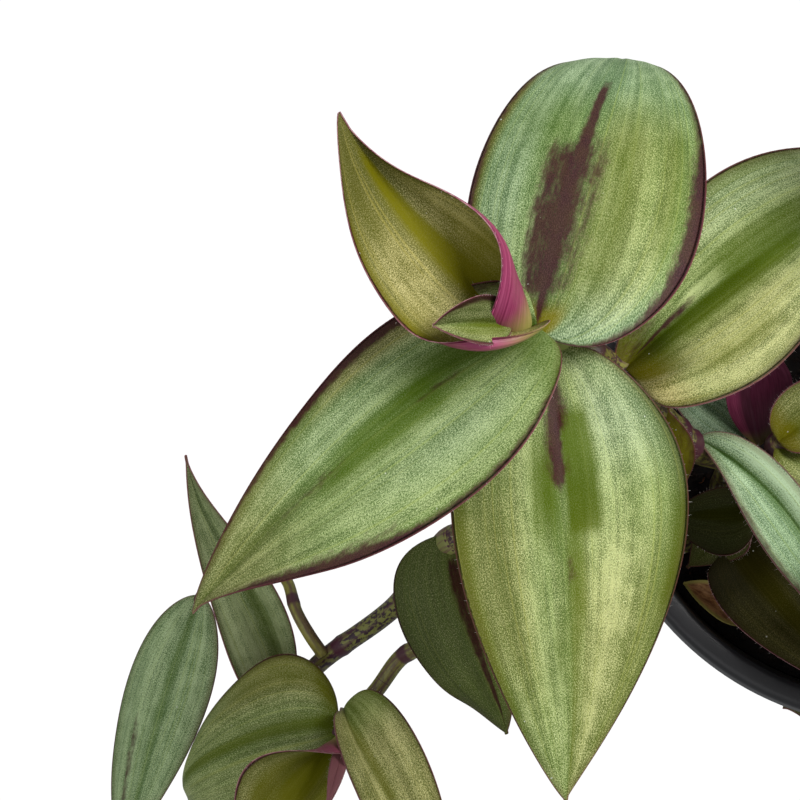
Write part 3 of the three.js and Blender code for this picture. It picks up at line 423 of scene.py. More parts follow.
TRAILING = dict(
    node="leafy_stem_trailing",
    stems=[
        dict(radius=(2.6, 1.7), mottle=1.0, warm=0.3, rings=[(-96.5, -35.2, 68.3)],
             path=[*foot(-33.5, -17.5), (-39.5, -20.5, 94.5), (-48.5, -22.5, 99.5), (-60.5, -20.5, 100),
                   (-75, -19, 94), (-87, -29.5, 74.5), (-100, -38, 66), (-106, -45.5, 58)],
             finer=[*foot(-33.5, -17.5), (-39.5, -20.5, 94.5), (-48.5, -22.5, 99.5), (-60.5, -20.5, 100),
                    (-75, -19, 94), (-87, -29.5, 74.5), (-100, -38, 64), (-106.3, -44.6, 51)]),
        dict(radius=(1.9, 1.4), mottle=0.35, warm=0.6, rings=[(-84, -37.3, 74)],
             path=[(-48.5, -22.5, 99.5), (-54.5, -30, 101), (-62.5, -37, 95.5), (-72.5, -38, 84),
                   (-83.5, -37, 74.5), (-90, -44, 70.5), (-97, -52.5, 72)]),
        dict(radius=(1.2, 1.0), mottle=0.25, warm=0.9, rings=[(-104.8, -27.5, 67.9)],
             path=[(-99.5, -37, 67), (-102, -33.5, 68.5), (-104.5, -29, 68.5), (-106.5, -23, 65),
                   (-111, -19.5, 62), (-118, -21, 58), (-123.5, -26, 55)]),
    ],
    leaves=[
        leaf((-76, -19.5, 93), (-65.5, -52.5, 83), (8, 14.5), shape=(0.34, 0.95), rise=(0.16, 0.22),
             sway=(0, 0.02), fold=(5, 5), curl=(-10, -20), wave=1.5, waves=2,
             finer=dict(root=(-76.9, -18.3, 92.9), tip=(-66.8, -52.3, 83), half=(8, 12.2),
                        shape=((0.34, 0.43), (0.95, 0.97)), sway=(0.095, -0.009), fold=(4, -19),
                        lobe=(0, -0.4), lean=0.22),
             silver=0.25, warm=0.5, blue=0.25, dim=0.5, rib=(0.8, 0.1, 1.0, 0.14, 0.1),
             trough=(0.2, 0.2, 0.6), band=(0.4, 0.03, 0.03, 0, 1), sheath=SLEEVE),
        leaf((-105, -45, 58.5), (-124, -2.5, 80), (10.5, 6.8), shape=(0.5, 1.25), rise=(0, -0.03),
             sway=(0.03, -0.03), fold=(35, 30), curl=(10, 10), clasp=(30, 0, 3), point=(20, 3),
             finer=dict(root=(-106.5, -44.2, 49.6), tip=(-124.1, -2.3, 80), half=(10.9, 6.7),
                        shape=((0.2, 0.7), (1.06, 1.2)), rise=(-0.07, -0.05), sway=(0.107, -0.063),
                        fold=(13, 37), lean=0.34),
             silver=0.95, warm=0.35, blue=0.7, dim=0.05, trough=(0.5, 0.25, 0.6),
             band=(0.3, 0.04, 0.04, 0, 1), sheath=SLEEVE),
        leaf((-96.5, -51.5, 71.5), (-119, -64, 46), (9, 18.5), shape=(0.3, 0.72), along=(0.08, 0.95),
             rise=(0.3, 0.28), sway=(0.12, 0.02), fold=(8, 5), curl=(-10, -25), clasp=(30, 0, 4),
             finer=dict(root=(-96.7, -49.7, 71.8), tip=(-124.6, -61.3, 46), half=(14.5, 13.9),
                        shape=((0.29, 0.58), (0.6, 1.73)), sway=(0.132, 0.149), fold=(-11, -16),
                        lobe=(0, 0.6), lean=-0.17),
             silver=0.65, warm=0.4, trough=(0.8, 0.12, 0.9), band=(0.4, 0.04, 0.06, 0, 1),
             patches=dict(plain=[(0.6, -1, 0.5, 0.55, 2, 0.15), (0.9, -1, 0.08, -2, 2, 0.05)],
                          warm=[(0.3, -1, 0.5, 0.4, 2, 0.2)])),
        leaf((-93.5, -48, 71), (-79.5, -84, 60), (8.6, 11), shape=(0.42, 0.85), along=(-0.04, 0.6),
             rise=(0.3, 0.22), sway=(-0.04, -0.04), fold=(5, 30), curl=(-20, -10),
             finer=dict(root=(-95.5, -47.4, 70.9), tip=(-78.9, -83.9, 60), half=(9.7, 6.2),
                        shape=((0.48, 0.9), (0.81, 0.72)), sway=(0.037, -0.092), fold=(23, 37),
                        lobe=(-1.9, -1.5), lean=0.03),
             warm=0.8, blue=0, trough=(0.5, 0.2, 0.8), band=(0.5, 0.05, 0.05, 0.15, 1),
             patches=dict(plain=[(0.6, -1, 0.22, -2, -0.2, 0.1)],
                          warm=[(-0.4, -1, 0.25, -2, 0, 0.1)])),
        leaf((-96, -52.5, 72), (-114, -77.5, 84), (13, 11), shape=(0.5, 1.1), rise=(0, -0.02),
             fold=(25, 30), curl=(10, 10), clasp=(40, 30, 2.4),
             finer=dict(root=(-96.1, -51.9, 73), half=(7, 13.2), shape=((0.5, 0.9), (1.1, 1.2)),
                        fold=(20, 25), clasp=((30, 20), (20, 230), 3.1)),
             silver=0.4, warm=0.85, blue=0, trough=(0.9, 0.35, 0.8), band=(0.9, 0.06, 0.06, 0.1, 1),
             under=0.8,
             patches=dict(plain=[(0.7, 0.1, 0.8, -2, 0.7, 0.1)])),
        leaf((-96, -52.5, 72), (-100, -65.5, 78), (5, 5), shape=(0.5, 1.1), rise=(0.05, 0.02),
             fold=(55, 30), curl=(10, 10), clasp=(20, 0, 3),
             finer=dict(root=(-95.4, -53.6, 76), tip=(-98.2, -65, 86), half=(1.6, 1.6), fold=(-30, -30),
                        face=-1),
             silver=0.3, warm=0.7, blue=0, under=0.45),
        leaf((-122, -25.5, 55.5), (-138.5, -75, 38), (9, 10), shape=(0.5, 0.95), rise=(0.12, 0.16),
             sway=(0.02, 0.02), fold=(6, -12), curl=(-20, -30),
             finer=dict(root=(-122.9, -24.8, 55.5), tip=(-138.8, -74.5, 38), half=(8.3, 9.4),
                        shape=((0.58, 0.58), (1.34, 0.87)), sway=(0.015, -0.007), fold=(15, -13),
                        lean=-0.04),
             silver=0.9, warm=0.1, blue=0.6, trough=(0.3, 0.16, 0.9), band=(0.3, 0.03, 0.03, 0, 1),
             patches=dict(purple=[(0.6, 0.45, 0.9, 0.38, 0.52, 0.06)])),
    ],
)
HEART = dict(
    node="leafy_stem_heart",
    stems=[
        dict(radius=(2.3, 1.4), mottle=0.7, warm=0.6,
             path=[*foot(-16.5, -10), (-20, -7, 96), (-21.5, -5, 107), (-21, -4, 111)],
             finer=[*foot(-16.5, -10), (-20, -7, 96), (-21.4, -5.2, 105.5), (-21.3, -4.9, 108.2)]),
    ],
    leaves=[
        leaf((-21.5, -4.8, 108.5), (-4, 7.5, 112), (6.5, 6), shape=(0.45, 1.1), fold=(20, 20),
             silver=0.5, warm=0.7, blue=0.1,
             patches=dict(plain=[(0.9, -1, 0.15, -2, 2, 0.08)],
                          warm=[(0.3, -1, 0.15, -2, 2, 0.08)])),
        leaf((-21.5, -5, 107), (-6, -11, 108), (6, 7), shape=(0.45, 1.1), fold=(20, 20),
             silver=0.5, warm=0.6, blue=0.1,
             patches=dict(plain=[(0.9, -1, 0.1, -2, 2, 0.08)],
                          purple=[(0.3, -1, 0.15, -2, 2, 0.08)])),
        leaf((-18.5, -8, 89), (-22, 13, 112), (7.5, 7.5), shape=(0.45, 0.9), fold=(-20, -30), face=-1,
             finer=dict(root=(-23.1, -3.4, 97), tip=(-27, 9.5, 114.5), half=(7.5, 4.4), shape=(0.6, 0.7),
                        fold=(5, 15)),
             silver=0.4, warm=0.3, under=1.0,
             patches=dict(dim=[(0.7, -1, 2, -2, 0.5, 0.08)])),
        leaf((-20.5, -6, 99), (-40.5, 10, 98), (5, 9.5), shape=(0.45, 1.1),
             finer=dict(root=(-25.4, -2, 96), tip=(-41.5, 9, 99), half=(5, 7)),
             silver=0.9, warm=0.0, blue=1.0, dim=0.1, trough=(0, 0.2, 0.5),
             patches=dict(dim=[(0.12, -1, 0.45, -2, 2, 0.05)])),
    ],
)
LOW = dict(
    node="leafy_stem_low",
    stems=[
        dict(radius=(2.2, 1.4), mottle=0.7, warm=0.4,
             path=[*foot(-24.5, -22), (-27.5, -19.5, 89), (-27, -17, 95), (-23.5, -15, 99)]),
    ],
    leaves=[
        leaf((-27.8, -19, 90), (-5, -47.5, 97), (12, 9), shape=(0.5, 0.95), rise=(0.08, 0.12),
             sway=(0.03, 0.05), fold=(10, 10),
             finer=dict(tip=(-5.1, -47.5, 97), half=(12, 9.4), shape=((0.5, 0.37), (0.95, 1.02)),
                        sway=(0.048, 0.058), fold=(10, 18), lobe=(0, -2.2)),
             silver=0.35, warm=1.0, blue=0, dim=0.72, band=(0.6, 0.04, 0.04, 0, 1),
             patches=dict(dim=[(0.2, -1, 0.3, -2, 2, 0.12)])),
        leaf((-25, -15.5, 97.5), (-35, -23.5, 87), (5.5, 5), shape=(0.5, 1.2), rise=(0.05, 0.05),
             sway=(0.1, 0),
             silver=0.3, warm=0.7, blue=0, dim=0.55),
        leaf((-24, -15, 98), (-40, -15.5, 93), (8, 4.5), shape=(0.5, 1.2),
             silver=0.25, warm=0.5, blue=0, dim=0.9),
    ],
)
WITHERED = dict(
    node="withered_leaf",
    stems=[
        dict(radius=(1.0, 0.8), mottle=0, warm=1,
             path=[(-23, -32, 75), (-23, -32, 79), (-23.5, -31.8, 82.8)]),
    ],
    leaves=[
        leaf((-23.4, -31.8, 82.2), (-35.5, -26, 85), (5, 5), shape=(0.55, 0.8), rise=(0.08, 0.1),
             fold=(30, 35), curl=(30, 40), clasp=(0, 0, 3), wave=0.4, waves=2,
             pleat=0.1),
    ],
)

# ---- the rest of the plant, grown by rule -------------------------------------------------------
# root: where it stands in the soil; heading and swing: the way it goes and how far it turns on the
# way; reach: how far it gets; crest and tip: its heights; count, size and seed of its leaves.
GROWN = [
    dict(name="back", root=(0, 30), heading=76, swing=-16, reach=82, crest=122, tip=68,
         count=8, size=58, seed=11),
    dict(name="back_right", root=(19, 24), heading=46, swing=18, reach=88, crest=116, tip=44,
         count=9, size=58, seed=23),
    dict(name="right", root=(33, 5), heading=12, swing=-22, reach=88, crest=126, tip=62,
         count=9, size=62, seed=37),
    dict(name="front_right", root=(27, -19), heading=-34, swing=16, reach=86, crest=112, tip=34,
         count=9, size=56, seed=41),
    dict(name="front", root=(12, -31), heading=-68, swing=18, reach=80, crest=120, tip=62,
         count=8, size=60, seed=53),
    dict(name="front_low", root=(-4, -37), heading=-82, swing=6, reach=48, crest=106, tip=40,
         count=6, size=44, seed=67,
         given=[leaf((-3, -68, 86), (-14.8, -46.1, 60), (2.6, 4), shape=(0.5, 0.8), along=(0.3, 0.8),
                     rise=(0.1, 0), sway=(0, 0.165), silver=0.8, warm=0.4, sheath=SLEEVE)]),
    dict(name="top", root=(5, 6), heading=30, swing=30, reach=34, crest=132, tip=158,
         count=7, size=62, seed=71),
    dict(name="top_front", root=(13, -10), heading=-58, swing=24, reach=46, crest=134, tip=152,
         count=7, size=56, seed=83),
    dict(name="top_back", root=(9, 19), heading=78, swing=-20, reach=44, crest=138, tip=150,
         count=7, size=58, seed=97),
    dict(name="side", root=(23, -3), heading=-4, swing=10, reach=44, crest=148, tip=158,
         count=7, size=58, seed=103),
]
GROWN_STEM = dict(radius=(2.4, 1.3), rings=[], mottle=0.8, warm=0.4)

# A grown leaf's values: at the first and the last leaf of a stem, or the least and the most.
LEAVES_FROM_TO = (0.4, 0.985)    # shares of the stem
LEAF_TURN = (78, 44)             # degrees away from the stem's course
LEAF_LIFT = (6, 16)              # degrees above the level
LEAF_WIDTH = (0.5, 0.56)         # as a share of its length
LEAF_FOLD = (6, 20)              # degrees
LEAF_BOW = (0.08, 0.16)          # as a share of its length
LEAF_SHRINK = 0.42               # how much shorter the last leaf is than the first
TIP_LEAF = dict(turn=8, lift=34, long=0.55, wide=0.8, fold=34)    # and for the leaf at the very tip

# Where no grown leaf may be, in millimetres: at the pot and the floor, and left of a slanting plane
# that keeps them off the crown and the trailing stems.
OVER_FLOOR = 3
OVER_SOIL = 85
OVER_RIM = 97
MOUTH_RADIUS = 44
WALL_SPACE = (42, 0.15)          # radius at the base, and how it grows with the height
EDGE_LEFT = -11.5
EDGE_LEAN = 0.156
EDGE_HEIGHT = 92
CELL = 3.8                       # leaves and stems take up cells of this size
SHIFT = 0.37
STEM_SAMPLES = 90
# The turns, lifts and sizes a leaf tries, in this order, until it is clear.
TRIES = [
    (0, 0, 1), (12, 4, 1), (-12, 4, 1), (0, 14, 1), (0, -14, 1), (24, 10, 1), (-24, 10, 1), (24, -12, 1),
    (-24, -12, 1), (0, 26, 1), (38, 0, 1), (-38, 0, 1), (0, -28, 1), (0, 0, 0.8), (18, 16, 0.8),
    (-18, 16, 0.8), (18, -16, 0.8), (-18, -16, 0.8), (0, 36, 0.8), (50, 0, 0.8), (-50, 0, 0.8),
    (0, 0, 0.62), (28, 22, 0.62), (-28, 22, 0.62), (28, -22, 0.62), (-28, -22, 0.62), (0, 48, 0.62),
    (60, 10, 0.62), (-60, 10, 0.62),
]
AROUND = [(0, 0, 0), (1, 0, 0), (-1, 0, 0), (0, 1, 0), (0, -1, 0), (0, 0, 1), (0, 0, -1)]
taken = {}


def grown_path(s):
    """A grown stem's course: up from the soil, over its crest and on to its tip."""
    x, y = s["root"]
    crest, tip = s["crest"], s["tip"]

    def at(share, turn, z):
        a = math.radians(s["heading"] + s["swing"] * turn)
        return (x + s["reach"] * share * math.cos(a), y + s["reach"] * share * math.sin(a), z)

    return [*foot(x, y), at(0.14, 0, mix(82, crest, 0.6)), at(0.4, 0.3, crest),
            at(0.7, 0.6, mix(crest, tip, 0.36)), at(0.9, 0.9, mix(crest, tip, 0.94)), at(1.05, 1.1, tip)]


def cells(points):
    return [tuple(c) for c in np.floor(points / CELL + SHIFT).astype(int)]


def take(points, owner):
    for cell in cells(points):
        taken.setdefault(cell, owner)


def take_stem(path, owner):
    take(on_curve(path, np.arange(STEM_SAMPLES + 1) / STEM_SAMPLES), owner)


def is_clear(points, own_stem):
    """No point of a leaf is barred by the pot, the soil or the crown's space, or taken already."""
    x, y, z = points.T
    r = np.hypot(x, y)
    in_mouth = (z > OVER_SOIL) & (r < MOUTH_RADIUS)
    at_pot = (z < OVER_RIM) & (r < WALL_SPACE[0] + WALL_SPACE[1] * z) & ~in_mouth
    if np.any((z < OVER_FLOOR) | at_pot | (x + EDGE_LEAN * (z - EDGE_HEIGHT) < EDGE_LEFT)):
        return False
    for i, j, k in set(cells(points)):
        for a, b, c in AROUND:
            owner = taken.get((i + a, j + b, k + c))
            if owner is not None and owner != own_stem:
                return False
    return True


def grow_leaves(s, path, owner):
    """Leaves on alternate sides of a stem, each turned or made smaller until it is clear, or left out."""
    draw = random_row(s["seed"])
    looks = random_row(s["seed"] + 1000)
    leaves = []
    for i in range(s["count"]):
        share = i / (s["count"] - 1)
        last = i == s["count"] - 1
        t = mix(*LEAVES_FROM_TO, share)
        root = on_curve(path, t)[0]
        along = on_curve(path, min(t + 0.02, 1))[0] - on_curve(path, t - 0.02)[0]
        course = math.atan2(along[1], along[0])
        side = 1 if i % 2 else -1
        turn = side * (TIP_LEAF["turn"] if last else mix(*LEAF_TURN, share) + 16 * (next(draw) - 0.5))
        lift = TIP_LEAF["lift"] if last else mix(*LEAF_LIFT, share) + 18 * (next(draw) - 0.5)
        long = s["size"] * (1 - LEAF_SHRINK * share * share) * (0.9 + 0.2 * next(draw))
        long *= TIP_LEAF["long"] if last else 1
        wide = 0.5 * long * mix(*LEAF_WIDTH, next(draw)) * (TIP_LEAF["wide"] if last else 1)
        fold = TIP_LEAF["fold"] if last else mix(*LEAF_FOLD, next(draw))
        bow = mix(*LEAF_BOW, next(draw))
        look = leaf_look(looks, share)
        for yaw, pitch, scale in TRIES:
            a, b = course + math.radians(turn + yaw), math.radians(lift + pitch)
            way = np.array([math.cos(a) * math.cos(b), math.sin(a) * math.cos(b), math.sin(b)])
            form = leaf(root, root + way * (long * scale), (wide * scale, wide * scale), shape=(0.55, 1.1),
                        rise=(bow, bow + 0.03), fold=(fold, fold), curl=(-18, -18), clasp=(22, 0, 3), **look)
            points = blade_samples(form)
            if is_clear(points, owner):
                take(points, "leaf")
                leaves.append(form)
                break
    return leaves


def leaf_look(draw, share):
    """A leaf's paint: older leaves are greener and more purple down the middle, young ones warmer."""
    middle = next(draw)
    purple = smooth(0.35, 0.9, next(draw))
    return dict(
        silver=mix(0.55, 0.95, next(draw)), warm=mix(0.1, 0.55, next(draw)) + 0.35 * share * share,
        # Grown leaves get a random darker tone, in the channel that carries painted shade on the leaves
        # placed one by one.
        blue=mix(0.0, 0.6, next(draw)) * (1 - share * share), dim=mix(0, 0.15, next(draw)),
        rib=(purple, 0.04 + 0.1 * middle, 0.5 + 0.45 * middle, 0.12 + 0.12 * middle, 0.24 - 0.1 * middle),
        band=(mix(0.5, 1, next(draw)), mix(0.04, 0.18, next(draw)), mix(0.04, 0.18, next(draw)), 0.1, 0.95),
        trough=(mix(0.4, 0.95, next(draw)), mix(0.2, 0.4, next(draw)), 0.8), under=mix(0.6, 1, share),
        sheath=SLEEVE,
    )


def placed_plant(given):
    """A stem with branches and leaves, each leaf's root moved onto the stem that is nearest to it."""
    stems = [{"rings": [], **stem, "joints": []} for stem in given["stems"]]
    leaves = []
    for form in given["leaves"]:
        near = [nearest(stem["path"], form["root"]) for stem in stems]
        gaps = [np.linalg.norm(on_curve(s["path"], t)[0] - form["root"]) for s, t in zip(stems, near)]
        k = gaps.index(min(gaps))
        stems[k]["joints"].append(near[k])
        leaves.append({**form, "root": on_curve(stems[k]["path"], near[k])[0], "on": (k, near[k])})
    for stem in stems:
        take_stem(stem["path"], given["node"])
    for form in leaves:
        take(blade_samples(form), "leaf")
    return dict(node=given["node"], stems=stems, leaves=leaves)


def grown_plants():
    """The stems that are grown by rule: all of their courses first, then the leaves on each."""
    plants = []
    for s in GROWN:
        path = grown_path(s)
        node = "leafy_stem_" + s["name"]
        take_stem(path, node)
        given = [
            {**form, "root": on_curve(path, nearest(path, form["root"]))[0]}
            for form in s.get("given", [])
        ]
        plants.append((s, path, node, given))
    for given in (plant[3] for plant in plants):
        for form in given:
            take(blade_samples(form), "leaf")
    for s, path, node, given in plants:
        leaves = given + grow_leaves(s, path, node)
        joints = [nearest(path, form["root"]) for form in leaves]
        leaves = [{**form, "on": (0, t)} for form, t in zip(leaves, joints)]
        yield dict(node=node, stems=[{**GROWN_STEM, "path": path, "joints": joints}], leaves=leaves)


# ---- meshes -------------------------------------------------------------------------------------
UPPER, UNDER, MARGIN, STEM, SHEATH = range(5)


def new_object(name, data):
    thing = bpy.data.objects.new(name, data)
    bpy.context.scene.collection.objects.link(thing)
    return thing


class Skin:
    """Grids of points gathered into one mesh. Each point has the four sets of numbers, or marks, that
    its material reads: run, share, paint and tint."""

    def __init__(self):
        self.points, self.faces, self.slots = [], [], []
        self.marks = {name: [] for name in ("run", "share", "paint", "tint")}
        self.count = 0

    def add(self, points, **marks):
        """Adds a grid (rows, columns, 3) of points and returns their numbers, laid out like it."""
        flat = points.reshape(-1, 3)
        numbers = self.count + np.arange(len(flat)).reshape(points.shape[:2])
        self.points.append(flat)
        self.count += len(flat)
        for name, row in self.marks.items():
            row.append(np.broadcast_to(marks[name], points.shape).reshape(-1, 3))
        return numbers

    def sheet(self, n, slot, flip=False, around=False):
        """Quads over a grid of point numbers. around closes it from the last column to the first."""
        after = np.roll(n, -1, axis=1) if around else n[:, 1:]
        here = n if around else n[:, :-1]
        a, b, c, d = here[:-1], after[:-1], after[1:], here[1:]
        self.take_in(np.stack([a, d, c, b] if flip else [a, b, c, d], -1).reshape(-1, 4), slot)

    def strip(self, first, second, slot, around=False):
        """Quads between two rows of point numbers."""
        self.sheet(np.stack([first, second]), slot, around=around)

    def take_in(self, quads, slot):
        self.faces.append(quads)
        self.slots.append(np.full(len(quads), slot))

    def mesh(self, name, materials):
        points = np.concatenate(self.points) * MM
        faces = np.concatenate(self.faces)
        mesh = bpy.data.meshes.new(name)
        mesh.vertices.add(len(points))
        mesh.vertices.foreach_set("co", points.astype(np.float32).ravel())
        mesh.loops.add(faces.size)
        mesh.loops.foreach_set("vertex_index", faces.ravel())
        mesh.polygons.add(len(faces))
        mesh.polygons.foreach_set("loop_start", np.arange(len(faces)) * 4)
        mesh.update(calc_edges=True)
        mesh.polygons.foreach_set("material_index", np.concatenate(self.slots))
        mesh.polygons.foreach_set("use_smooth", np.ones(len(faces), bool))
        for mark, rows in self.marks.items():
            layer = mesh.attributes.new(mark, "FLOAT_VECTOR", "POINT")
            layer.data.foreach_set("vector", np.concatenate(rows).astype(np.float32).ravel())
        for material in materials:
            mesh.materials.append(material)
        mesh.validate()
        return new_object(name, mesh)


def across(count):
    """Shares across a blade, closer at the midrib and at the margins."""
    half = np.sin(np.linspace(0, 1, count) * math.pi / 2) ** 1.25
    half[-2] = 0.972
    return np.concatenate([-half[:0:-1], half])


def relief(form, number, u, v, width):
    """How far a blade's skin stands up: pleats between its veins, soft ripples and an uneven margin."""
    q = np.abs(v)
    dice = random_row(7919 + 31 * number)
    a, b, c, d = (TURN * next(dice) for _ in range(4))
    pleat = form["pleat"] * np.cos(TURN * (1.7 * q + 0.12 * np.sin(5 * u + a))) * (1 - q**4)
    ripple = 0.22 * np.sin(7 * u + b + 2 * v) + 0.12 * np.sin(13 * u + c - 3 * v) * q
    edge_lift = 0.3 * np.sin(9 * u + d) * q**3
    return (pleat + ripple + edge_lift) * np.sin(math.pi * u) ** 0.7 * smooth(2.0, 9.0, width)


def add_blade(skin, form, number, rows, columns):
    """A thin blade with a grooved midrib above, a keel below, soft pleats and a fine margin."""
    even = 0.5 - 0.5 * np.cos(math.pi * np.arange(rows + 1) / rows)
    u, v = np.meshgrid(even, across(columns), indexing="ij")
    at, normal, width = leaf_points(form, u, v)
    at = at + normal * relief(form, number, u, v, width)[..., None]
    q = np.abs(v)
    thick = mix(*BLADE_THICK, q**3) * mix(1.0, 0.6, u)
    rib = smooth(0.5, 3.0, width) * (1 - smooth(0.8, 1.0, u))
    groove, keel = (depth * rib * np.exp(-((q * width / reach) ** 2)) for depth, reach in (GROOVE, KEEL))
    top = at + normal * (0.5 * thick - groove)[..., None]
    low = at - normal * (0.5 * thick + keel)[..., None]
    long = np.linalg.norm(np.asarray(form["tip"]) - form["root"])
    paint, tint = painted(form, u, v)
    marks = dict(
        run=np.stack([u * long * 1.05, v * width, np.full_like(u, number)], -1),
        share=np.stack([u, v, width * (1 - q)], -1), paint=paint,
    )
    n = skin.add(top, **marks, tint=tint)
    # The underside takes the blade's painted shade as its third tint number.
    under = np.stack([np.full_like(u, form["warm"]), np.full_like(u, form["under"]), tint[..., 2]], -1)
    m = skin.add(low, **marks, tint=under)
    skin.sheet(n, UPPER)
    skin.sheet(m, UNDER, flip=True)
    skin.strip(m[:, -1], n[:, -1], MARGIN)
    skin.strip(n[:, 0], m[:, 0], MARGIN)
    skin.strip(n[0], m[0], MARGIN)
    skin.strip(m[-1], n[-1], MARGIN)


def purple_of(form, u, v):
    """The purple blotch down a leaf's middle and the purple along its margins."""
    q, right = np.abs(v), v >= 0
    strength, start, end, left_share, right_share = form["rib"]
    taper = np.sqrt(np.clip(1 - (u - start) / (end - start + 0.05), 0.02, 1))
    reach = np.where(right, right_share, left_share) * taper
    blotch = strength * smooth(start - 0.04, start + 0.05, u) * (1 - smooth(end - 0.12, end + 0.03, u))
    blotch = blotch * (1 - smooth(0.7, 1.35, q / reach))
    force, left_band, right_band, begin, finish = form["band"]
    band = np.where(right, right_band, left_band)
    window = smooth(begin - 0.15, begin + 0.1, u) * (1 - 0.7 * smooth(finish - 0.1, finish + 0.1, u))
    margin = force * smooth(1 - 1.5 * band, 1 - 0.35 * band, q) * window
    return np.maximum(blotch, margin)


def plain_of(form, u, v):
    """The plain green down a leaf's middle."""
    strength, share, end = form["trough"]
    reach = share * np.sqrt(np.clip(1.08 - u / (end + 0.1), 0.03, 1))
    return strength * (1 - smooth(0.65, 1.1, np.abs(v) / reach)) * (1 - smooth(end - 0.2, end + 0.1, u))


def painted(form, u, v):
    """Purple, plain, and silver with painted highlight, and warm, blue, and darker tone with painted shade,
    at each point of a blade.
    """
    q = np.abs(v)
    silver = form["silver"] * (0.6 + 0.4 * smooth(0.05, 0.3, q)) * (1 - 0.4 * smooth(0.85, 1.0, q))
    value = {"purple": purple_of(form, u, v), "plain": plain_of(form, u, v), "silver": silver}
    for kind in ("warm", "blue", "dim"):
        value[kind] = np.full_like(u, form[kind])
    for kind, windows in form["patches"].items():
        most = MOST_SILVER_AND_HIGHLIGHT if kind == "silver" else 1
        for amount, start, end, left, right, soft in windows:
            inside = smooth(start - soft, start + soft, u) * (1 - smooth(end - soft, end + soft, u))
            inside *= smooth(left - soft, left + soft, v)
            inside *= 1 - smooth(right - soft, right + soft, v)
            value[kind] = np.clip(value[kind] + amount * inside, 0, most)
    return [np.stack([value[kind] for kind in kinds], -1)
            for kinds in (("purple", "plain", "silver"), ("warm", "blue", "dim"))]


def frames_along(path, t):
    """Points, tangents and two steady side directions at shares t of a curve."""
    P = on_curve(path, t)
    T = unit(on_curve(path, np.minimum(t + 0.004, 1)) - on_curve(path, np.maximum(t - 0.004, 0)))
    N = np.zeros_like(P)
    side = np.array([1.0, 0.0, 0.0])
    for i in range(len(t)):
        side = unit(side - T[i] * (side @ T[i]))
        N[i] = side
    return P, T, N, np.cross(T, N)


def stem_radius(stem, t, P):
    """A stem's radius at its points P, thicker at each joint."""
    plain = mix(stem["radius"][0], stem["radius"][1], t)
    r = plain.copy()
    for joint in stem["joints"]:
        off = np.linalg.norm(P - on_curve(stem["path"], joint), axis=1) / JOINT_REACH
        r = np.maximum(r, plain * (1 + JOINT_SWELL * np.exp(-off * off)))
    return r


def from_rings(stem, s):
    """How far each place along a stem is past its nearest purple ring, in millimetres."""
    places = [*stem["joints"], *(nearest(stem["path"], point) for point in stem["rings"])]
    rings = np.array([float(length_along(stem["path"], t)) for t in places] or [NO_RING])
    off = s[:, None] - rings
    return off[np.arange(len(s)), np.abs(off).argmin(1)]


def round_about(N, B, sides):
    """Angles all round a curve, and the directions they give at each of its points."""
    a = TURN * np.arange(sides) / sides
    return a, N[:, None] * np.cos(a)[None, :, None] + B[:, None] * np.sin(a)[None, :, None]


def round_run(a, r, s):
    """The run marks round a stem: two numbers across it and one along it, in millimetres."""
    return np.stack(np.broadcast_arrays(np.cos(a) * r[:, None], np.sin(a) * r[:, None], s[:, None]), -1)


def add_stem(skin, stem):
    """A round, jointed stem with closed ends."""
    path = stem["path"]
    t = np.linspace(0, 1, max(12, int(float(length_along(path, 1.0)) / STEM_STEP)))
    s = length_along(path, t)
    P, _, N, B = frames_along(path, t)
    off = from_rings(stem, s)
    r = stem_radius(stem, t, P) * (1 + RING_SWELL * np.exp(-((off / RING_REACH) ** 2)))
    a, way = round_about(N, B, STEM_SIDES)
    run = round_run(a, r, s)
    bare = smooth(-0.06, 0.06, t - stem.get("bare", NEVER))
    tint = np.stack([np.full_like(t, stem["warm"]), stem["mottle"] * (1 - bare), bare], -1)
    n = skin.add(P[:, None] + way * r[:, None, None], run=run, share=off[:, None, None], paint=0.0,
                 tint=tint[:, None])
    skin.sheet(n, STEM, flip=True, around=True)
    for end, flip in ((0, False), (-1, True)):
        marks = dict(run=run[end, 0], share=off[end], paint=0.0, tint=tint[0])
        close_end(skin, n[end], P[end], marks, flip)


def close_end(skin, rim, centre, marks, flip):
    """Closes a rim of an even number of points with quads round its centre."""
    c = skin.add(centre.reshape(1, 1, 3), **marks)[0, 0]
    quads = np.stack([np.full_like(rim, c), rim, np.roll(rim, -1), np.roll(rim, -2)], -1)[::2]
    skin.take_in(quads[:, ::-1] if flip else quads, STEM)


